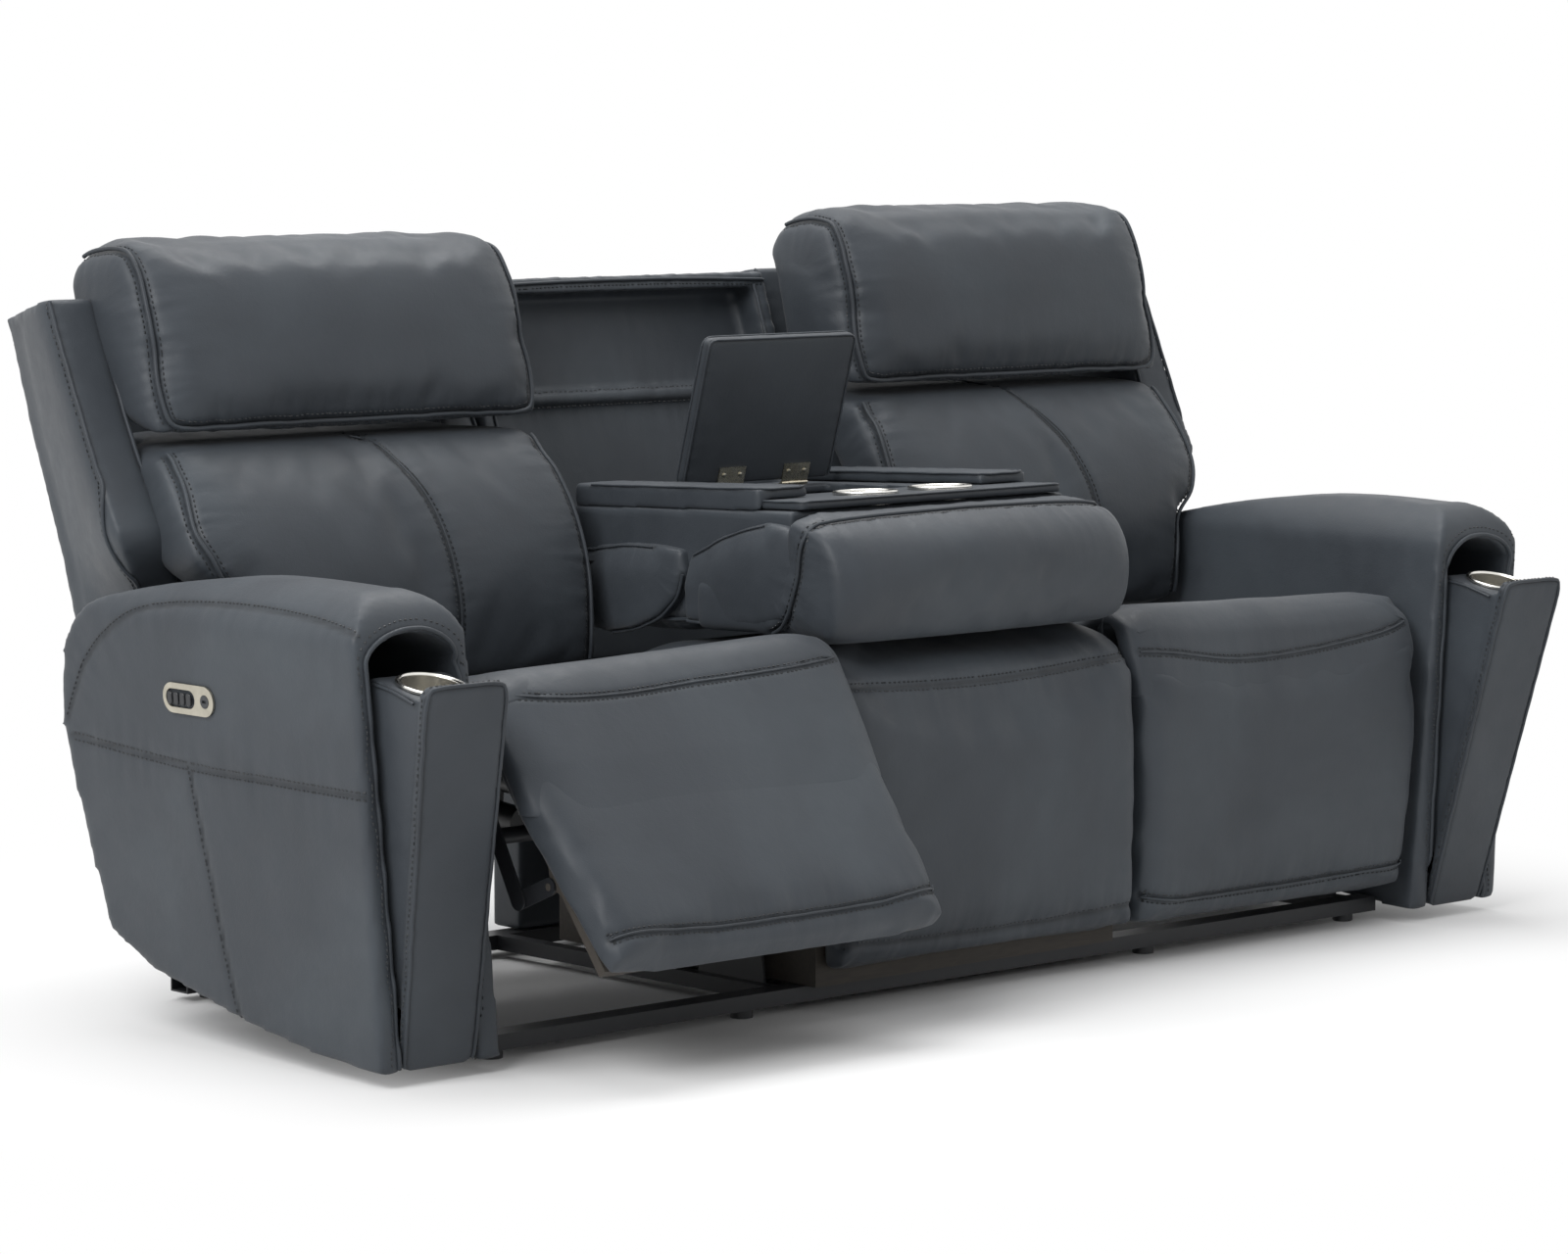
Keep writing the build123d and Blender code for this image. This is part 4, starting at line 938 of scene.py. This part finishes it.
right_seat = padded_cover("seat_cover_right", ["seat_cushion_right"], 0.0095, 4.0, 0.014,
                          lambda place: place.z < 0.44 or place.y > 0.47 + front_y, 8, seat_form)
settle(right_seat, *seat_span, 0.017, 0.02)
right_leg = padded_cover("leg_panel_cover_right", ["footrest_pad_right"], 0.0085, 3.0, 0.009,
                         behind(30), 6, leg_form)
low_points = ((309, -20, 104), (392, -20, 93), (546, -20, 91), (704, -20, 91), (909, -20, 97))
leg_low = seam_line(right_leg, low_points, look=1)
sew(right_leg, [leg_low], 0.004, 0.008, gather=0.0012, gather_reach=0.03)
seats = {"right": right_seat, "left": left_twin(right_seat, *seat_turns["left"])}
legs = {"right": right_leg, "left": left_twin(right_leg, *leg_turns["left"])}
for side, piece in seats.items():
    dress(piece, f"seat_{side}", f"seat_cushion_{side}", filled=0.75)
for side, piece in legs.items():
    dress(piece, f"footrest_{side}", f"footrest_pad_{side}", filled=0.75)
leg_rows = [(leg_low, 0.006), (leg_low, -0.006)]
twin_trims((stitches("leg_stitching_right", right_leg, leg_rows, "footrest_right"),
            welt("leg_welt_right", leg_low, "footrest_right", 0.0016, 0.0004)),
           "footrest_left", *leg_turns["left"])


def waterfall(name, cushion, panel, left_end, right_end, top, foot):
    """Leather over the cushion's front roll, then drawn taut on down to the leg panel, outside both."""
    skins = [BVHTree.FromObject(piece, bpy.context.evaluated_depsgraph_get()) for piece in (cushion, panel)]
    columns, roll_rows, rows = 58, 12, 46
    edge_steps = ((0.0, 0.03), (0.0006, 0.012), (0.0036, 0.0042), (0.0105, 0.0004))   # in, and tucked back
    last_step = len(edge_steps) - 1
    deselect()
    bpy.ops.mesh.primitive_grid_add(x_subdivisions=columns, y_subdivisions=rows, size=1)
    made = bpy.context.object
    made.name = name
    spots, across = {}, []
    turns = [math.radians(105) * max(0.0, 1 - row / roll_rows) for row in range(rows + 1)]
    heights = [top + (foot - top) * (row - roll_rows) / (rows - roll_rows) for row in range(rows + 1)]
    for column in range(columns + 1):
        rank = min(column, columns - column)
        share = (column - last_step) / (columns - 2 * last_step)
        span = right_end - left_end - 2 * edge_steps[-1][0]
        x = left_end + edge_steps[-1][0] + span * share
        if rank < last_step:
            x = left_end + edge_steps[rank][0] if column < last_step else right_end - edge_steps[rank][0]
        across.append(x)
        x = max(left_end + 0.014, min(right_end - 0.014, x))
        line = []
        for row in range(roll_rows, rows + 1):
            hits = [skin.ray_cast(Vector((x, front_y - 0.4, heights[row])), Vector((0, 1, 0)), 0.6)[0]
                    for skin in skins]
            near = [hit.y for hit in hits if hit is not None]
            if near:
                line.append((row, min(near)))
        taut = []
        for point in line:
            while len(taut) > 1 and ((taut[-1][0] - taut[-2][0]) * (point[1] - taut[-2][1])
                                     <= (taut[-1][1] - taut[-2][1]) * (point[0] - taut[-2][0])):
                taut.pop()
            taut.append(point)
        for row in range(roll_rows, rows + 1):
            before = max((p for p in taut if p[0] <= row), default=taut[0])
            after = min((p for p in taut if p[0] >= row), default=taut[-1])
            share = (row - before[0]) / max(after[0] - before[0], 1)
            spots[column, row] = Vector((x, before[1] + (after[1] - before[1]) * share, heights[row]))
        centre = spots[column, roll_rows] + Vector((0, 0.045, 0))
        for row in range(roll_rows - 1, -1, -1):
            way = Vector((0, -math.cos(turns[row]), math.sin(turns[row])))
            hit = skins[0].ray_cast(centre, way, 0.2)[0]
            spots[column, row] = hit if hit is not None else spots[column, row + 1] + Vector((0, 0.006, 0))
    for _ in range(6):
        spots = {(c, r): (spots[c, r] * 2 + sum((spots.get(k, spots[c, r]) for k in
                                                 ((c - 1, r), (c + 1, r), (c, r - 1), (c, r + 1))), Vector())) / 6
                 for c, r in spots}
    for vertex in made.data.vertices:
        column, row = round((vertex.co.x + 0.5) * columns), round((0.5 - vertex.co.y) * rows)
        rank = min(column, columns - column)
        tuck = (0.006, 0.0006, -0.0006, -0.0014, -0.002)[min(row, 4)]
        tuck = max(tuck, 0.005 if row == rows else 0.0011 - 0.0031 * (rows - row) / 14)
        tuck += edge_steps[rank][1] if rank < last_step else 0.0
        vertex.co = spots[column, row] + Vector((0, math.cos(turns[row]), -math.sin(turns[row]))) * tuck
        inward = 0.006 * max(0.0, (row - roll_rows) / (rows - roll_rows)) ** 2
        vertex.co.x = across[column] + inward * (1 - 2 * column / columns)
    modify(made, "SOLIDIFY", thickness=0.003, offset=-1.0)
    face_outward()
    subdivide(made)
    made.data.materials.append(slate_leather)
    return made


fall_seams = {"right": ((318, 467), (378, 462), (521, 443), (688, 445), (850, 460), (916, 472)),
              "left": ((-916, 501), (-810, 491), (-700, 489), (-593, 494), (-500, 497), (-400, 502), (-318, 508))}
fall_shape = {"right": (0.506, 0.398), "left": (0.512, 0.345)}
for side, s in sides:
    top, foot = fall_shape[side]
    ends = sorted(s * end for end in fall_span)
    fall = waterfall(f"seat_fall_{side}", seats[side], legs[side], *ends, top, foot)
    fall_seam = seam_line(fall, [(x, -20, z) for x, z in fall_seams[side]], look=1)
    sew(fall, [fall_seam], 0.0025, 0.006, gather=0.0008)
    fall_rows = [(fall_seam, 0.006), (fall_seam, -0.006)]
    # The thin cord of darker welt leather in the fall's seam stands for the closed seam and for painted shade in
    # its fold.
    trims = [stitches(f"seat_fall_stitching_{side}", fall, fall_rows, "root"),
             welt(f"seat_fall_seam_{side}", fall_seam, "root", 0.0014, 0.0002)]
    for piece in [fall] + trims:
        piece.parent = None
        if "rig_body" in piece:
            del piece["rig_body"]
        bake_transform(piece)

# ---------------------------------------------------------------- backs and headrests
# Each outer back is a wrapped plywood shell with a padded wing down either side. A foam cushion and
# a tilting headrest stand between the wings, both gusseted, piped and top-stitched.
wing_front = ((859, 1016), (843, 971), (760, 781), (672, 612), (692, 575))


def wing_depth(z):
    """How far back the wings' front face is at a height."""
    for (y_high, z_high), (y_low, z_low) in zip(wing_front, wing_front[1:]):
        if z * 1000 > z_low:
            return (y_low + (y_high - y_low) * (z * 1000 - z_low) / (z_high - z_low)) / 1000 + front_y
    return wing_front[-1][0] / 1000 + front_y


def shell_form(x, y, z):
    """The outer wing flares outwards and forwards, past the ends of the cushion and the headrest."""
    flare = eased((x - 0.88) / 0.05) * eased((wing_depth(z) + 0.14 - y) / 0.12) * eased((z - 0.57) / 0.13)
    return Vector((x + 0.07 * flare, y - 0.098 * flare, z + 0.008 * flare))


right_shell = cover("back_shell_cover_right", ["back_shell_right", "back_wings_right"], 0.0075, 0.001, 3,
                    shell_form)
wing_lines = [seam_line(right_shell, [(x, depth, height) for depth, height in wing_front], form=shell_form)
              for x in (325, 393, 941, 1019)]
shell_rise = ((850, 400), (900, 560), (960, 760), (1010, 960))
shell_rear = [seam_line(right_shell, [(x, y, z) for y, z in shell_rise], look=-1) for x in (352, 988)]
shell_across = seam_line(right_shell, ((322, 900, 560), (668, 900, 556), (1016, 900, 560)), look=-1)
sew(right_shell, wing_lines + shell_rear + [shell_across], 0.0016, 0.005, gather=0.001, gather_reach=0.025)
shells = {"right": right_shell, "left": left_twin(right_shell, *seat_turns["left"])}
for side, piece in shells.items():
    dress(piece, f"back_{side}", f"back_shell_{side}", f"back_wings_{side}")
trims = [welt(f"wing_welt_right_{number}", line, "back_right", 0.003, 0.0012)
         for number, line in enumerate(wing_lines)]
wing_rows = list(zip(wing_lines, (-0.008, 0.008, -0.008, 0.008)))
shell_rows = [(shell_rear[0], 0.005), (shell_rear[1], 0.005), (shell_across, 0.005), (shell_across, -0.005)]
trims.append(stitches("wing_stitching_right", right_shell, wing_rows + shell_rows, "back_right"))


def back_form(x, y, z):
    """The cushion spreads in front of the wings and over the arm's edge, and sinks in behind the seat."""
    clear = clamp((wing_depth(z) - 0.006 - y) / 0.03)
    spread = widen(x, 0.399, 0.935, 0.318, 0.955 + 0.065 * eased((z - 0.59) / 0.07))
    loin = math.sin(math.pi * clamp((z - 0.5) / 0.33))
    top = clamp((z - 0.78) / 0.05)
    foot = clamp((0.57 - z) / 0.07)
    return Vector((x + (spread - x) * clear, y - 0.024 * loin * clear, z - 0.012 * top * clear - 0.045 * foot))


def back_held(place):
    """The cushion's foot, top edge and rear don't swell."""
    return place.z > 0.812 or place.z < 0.47 or place.y > 0.66 + front_y


right_back = padded_cover("back_cushion_cover_right", ["back_cushion_right"], 0.0095, 4.0, 0.02, back_held, 8,
                          back_form)
round_corners(right_back, 0.318, 1.02, 0.72, 0.075, 0.02)
back_front = ((640, 822), (622, 806), (600, 760), (575, 690), (548, 620), (520, 540), (512, 500), (512, 462))
back_ends = [seam_line(right_back, [(x + outward * (height > 600) + outward * (height > 650), depth - 20, height)
                                    for depth, height in back_front])
             for x, outward in ((334, 0), (941, 31))]
sew(right_back, back_ends, 0.005, 0.009, gather=0.0022, gather_reach=0.035)
left_back = left_twin(right_back, *seat_turns["left"])
for number, line in enumerate(back_ends):
    trims.append(welt(f"back_welt_right_{number}", line, "back_right", 0.003, 0.0014))
trims.append(stitches("back_stitching_right", right_back, [(line, gap) for line in back_ends
                                                           for gap in (0.009, -0.009)], "back_right"))
curved = {"right": (right_back, ((640, 628, 832), (658, 620, 818), (703, 586, 754), (726, 566, 700),
                                 (739, 548, 653), (748, 530, 580), (751, 518, 525), (751, 512, 478))),
          "left": (left_back, ((-668, 612, 832), (-644, 589, 796), (-620, 566, 745), (-603, 543, 695),
                               (-594, 516, 630), (-589, 490, 555), (-588, 480, 515), (-588, 477, 472)))}
for side, (piece, points) in curved.items():
    line = seam_line(piece, points, look=1)
    sew(piece, [line], 0.0035, 0.008, gather=0.001)
    dress(piece, f"back_{side}", f"back_cushion_{side}", filled=0.75)
    stitches(f"back_curve_stitching_{side}", piece, [(line, 0.0065), (line, -0.0065)], f"back_{side}")
    # The thin cord of darker welt leather in the curved seam stands for the closed seam and for painted shade in
    # its fold.
    welt(f"back_curve_seam_{side}", line, f"back_{side}", 0.0014, 0.0002)
rest_low, rest_high = 0.318, 1.017


def rest_form(x, y, z):
    """The headrest spreads over the wings, is crowned along its top, and hangs over the cushion's top."""
    spread = widen(x, 0.383, 0.958, rest_low, rest_high)
    across = 2 * (spread - rest_low) / (rest_high - rest_low) - 1
    lip = clamp((0.94 - z) / 0.08) * clamp((0.72 + front_y - y) / 0.05)
    crown = max(0.0, (z - 0.846) / 0.24) * 0.027 * (1 - 0.35 * across ** 4)
    return Vector((spread, y - 0.012 * lip, z - 0.019 * lip + crown))


def rest_held(place):
    """The headrest's underside and rear don't swell."""
    return (place.z < 0.836 or place.y > 0.8 + front_y
            or (place.z < 0.856 and place.y > 0.71 + front_y))


right_rest = padded_cover("headrest_cover_right", ["headrest_right"], 0.009, 4.0, 0.016, rest_held, 8,
                          rest_form)
round_corners(right_rest, rest_low, rest_high, 1.0, 0.06, 0.025, 0.006)
round_corners(right_rest, rest_low, 2.0, 1.0, 0.1, 0.02)          # the inner end is rounder than the outer
rest_side = ((812, 1090), (770, 1100), (735, 1102), (695, 1092), (670, 1060), (655, 1012), (642, 960),
             (635, 905))
rest_foot = ((338, 620, 856), (354, 617, 838), (430, 616, 832), (665, 604, 832), (900, 616, 832),
             (976, 617, 838), (997, 620, 856))
rest_edge = seam_line(right_rest, [(333, y, z) for y, z in rest_side] + list(rest_foot)
                      + [(1002, y, z) for y, z in rest_side[::-1]])
sew(right_rest, [rest_edge], 0.005, 0.009, gather=0.0019, gather_reach=0.035)
rests = {"right": right_rest, "left": left_twin(right_rest, *seat_turns["left"])}
for side, piece in rests.items():
    dress(piece, f"headrest_{side}", f"headrest_{side}", filled=0.75)
rest_trims = (welt("headrest_welt_right", rest_edge, "headrest_right", 0.0032, 0.0014),
              stitches("headrest_stitching_right", right_rest, [(rest_edge, 0.009), (rest_edge, -0.009)],
                       "headrest_right"))
twin_trims(trims, "back_left", *seat_turns["left"])
twin_trims(rest_trims, "headrest_left", *seat_turns["left"])
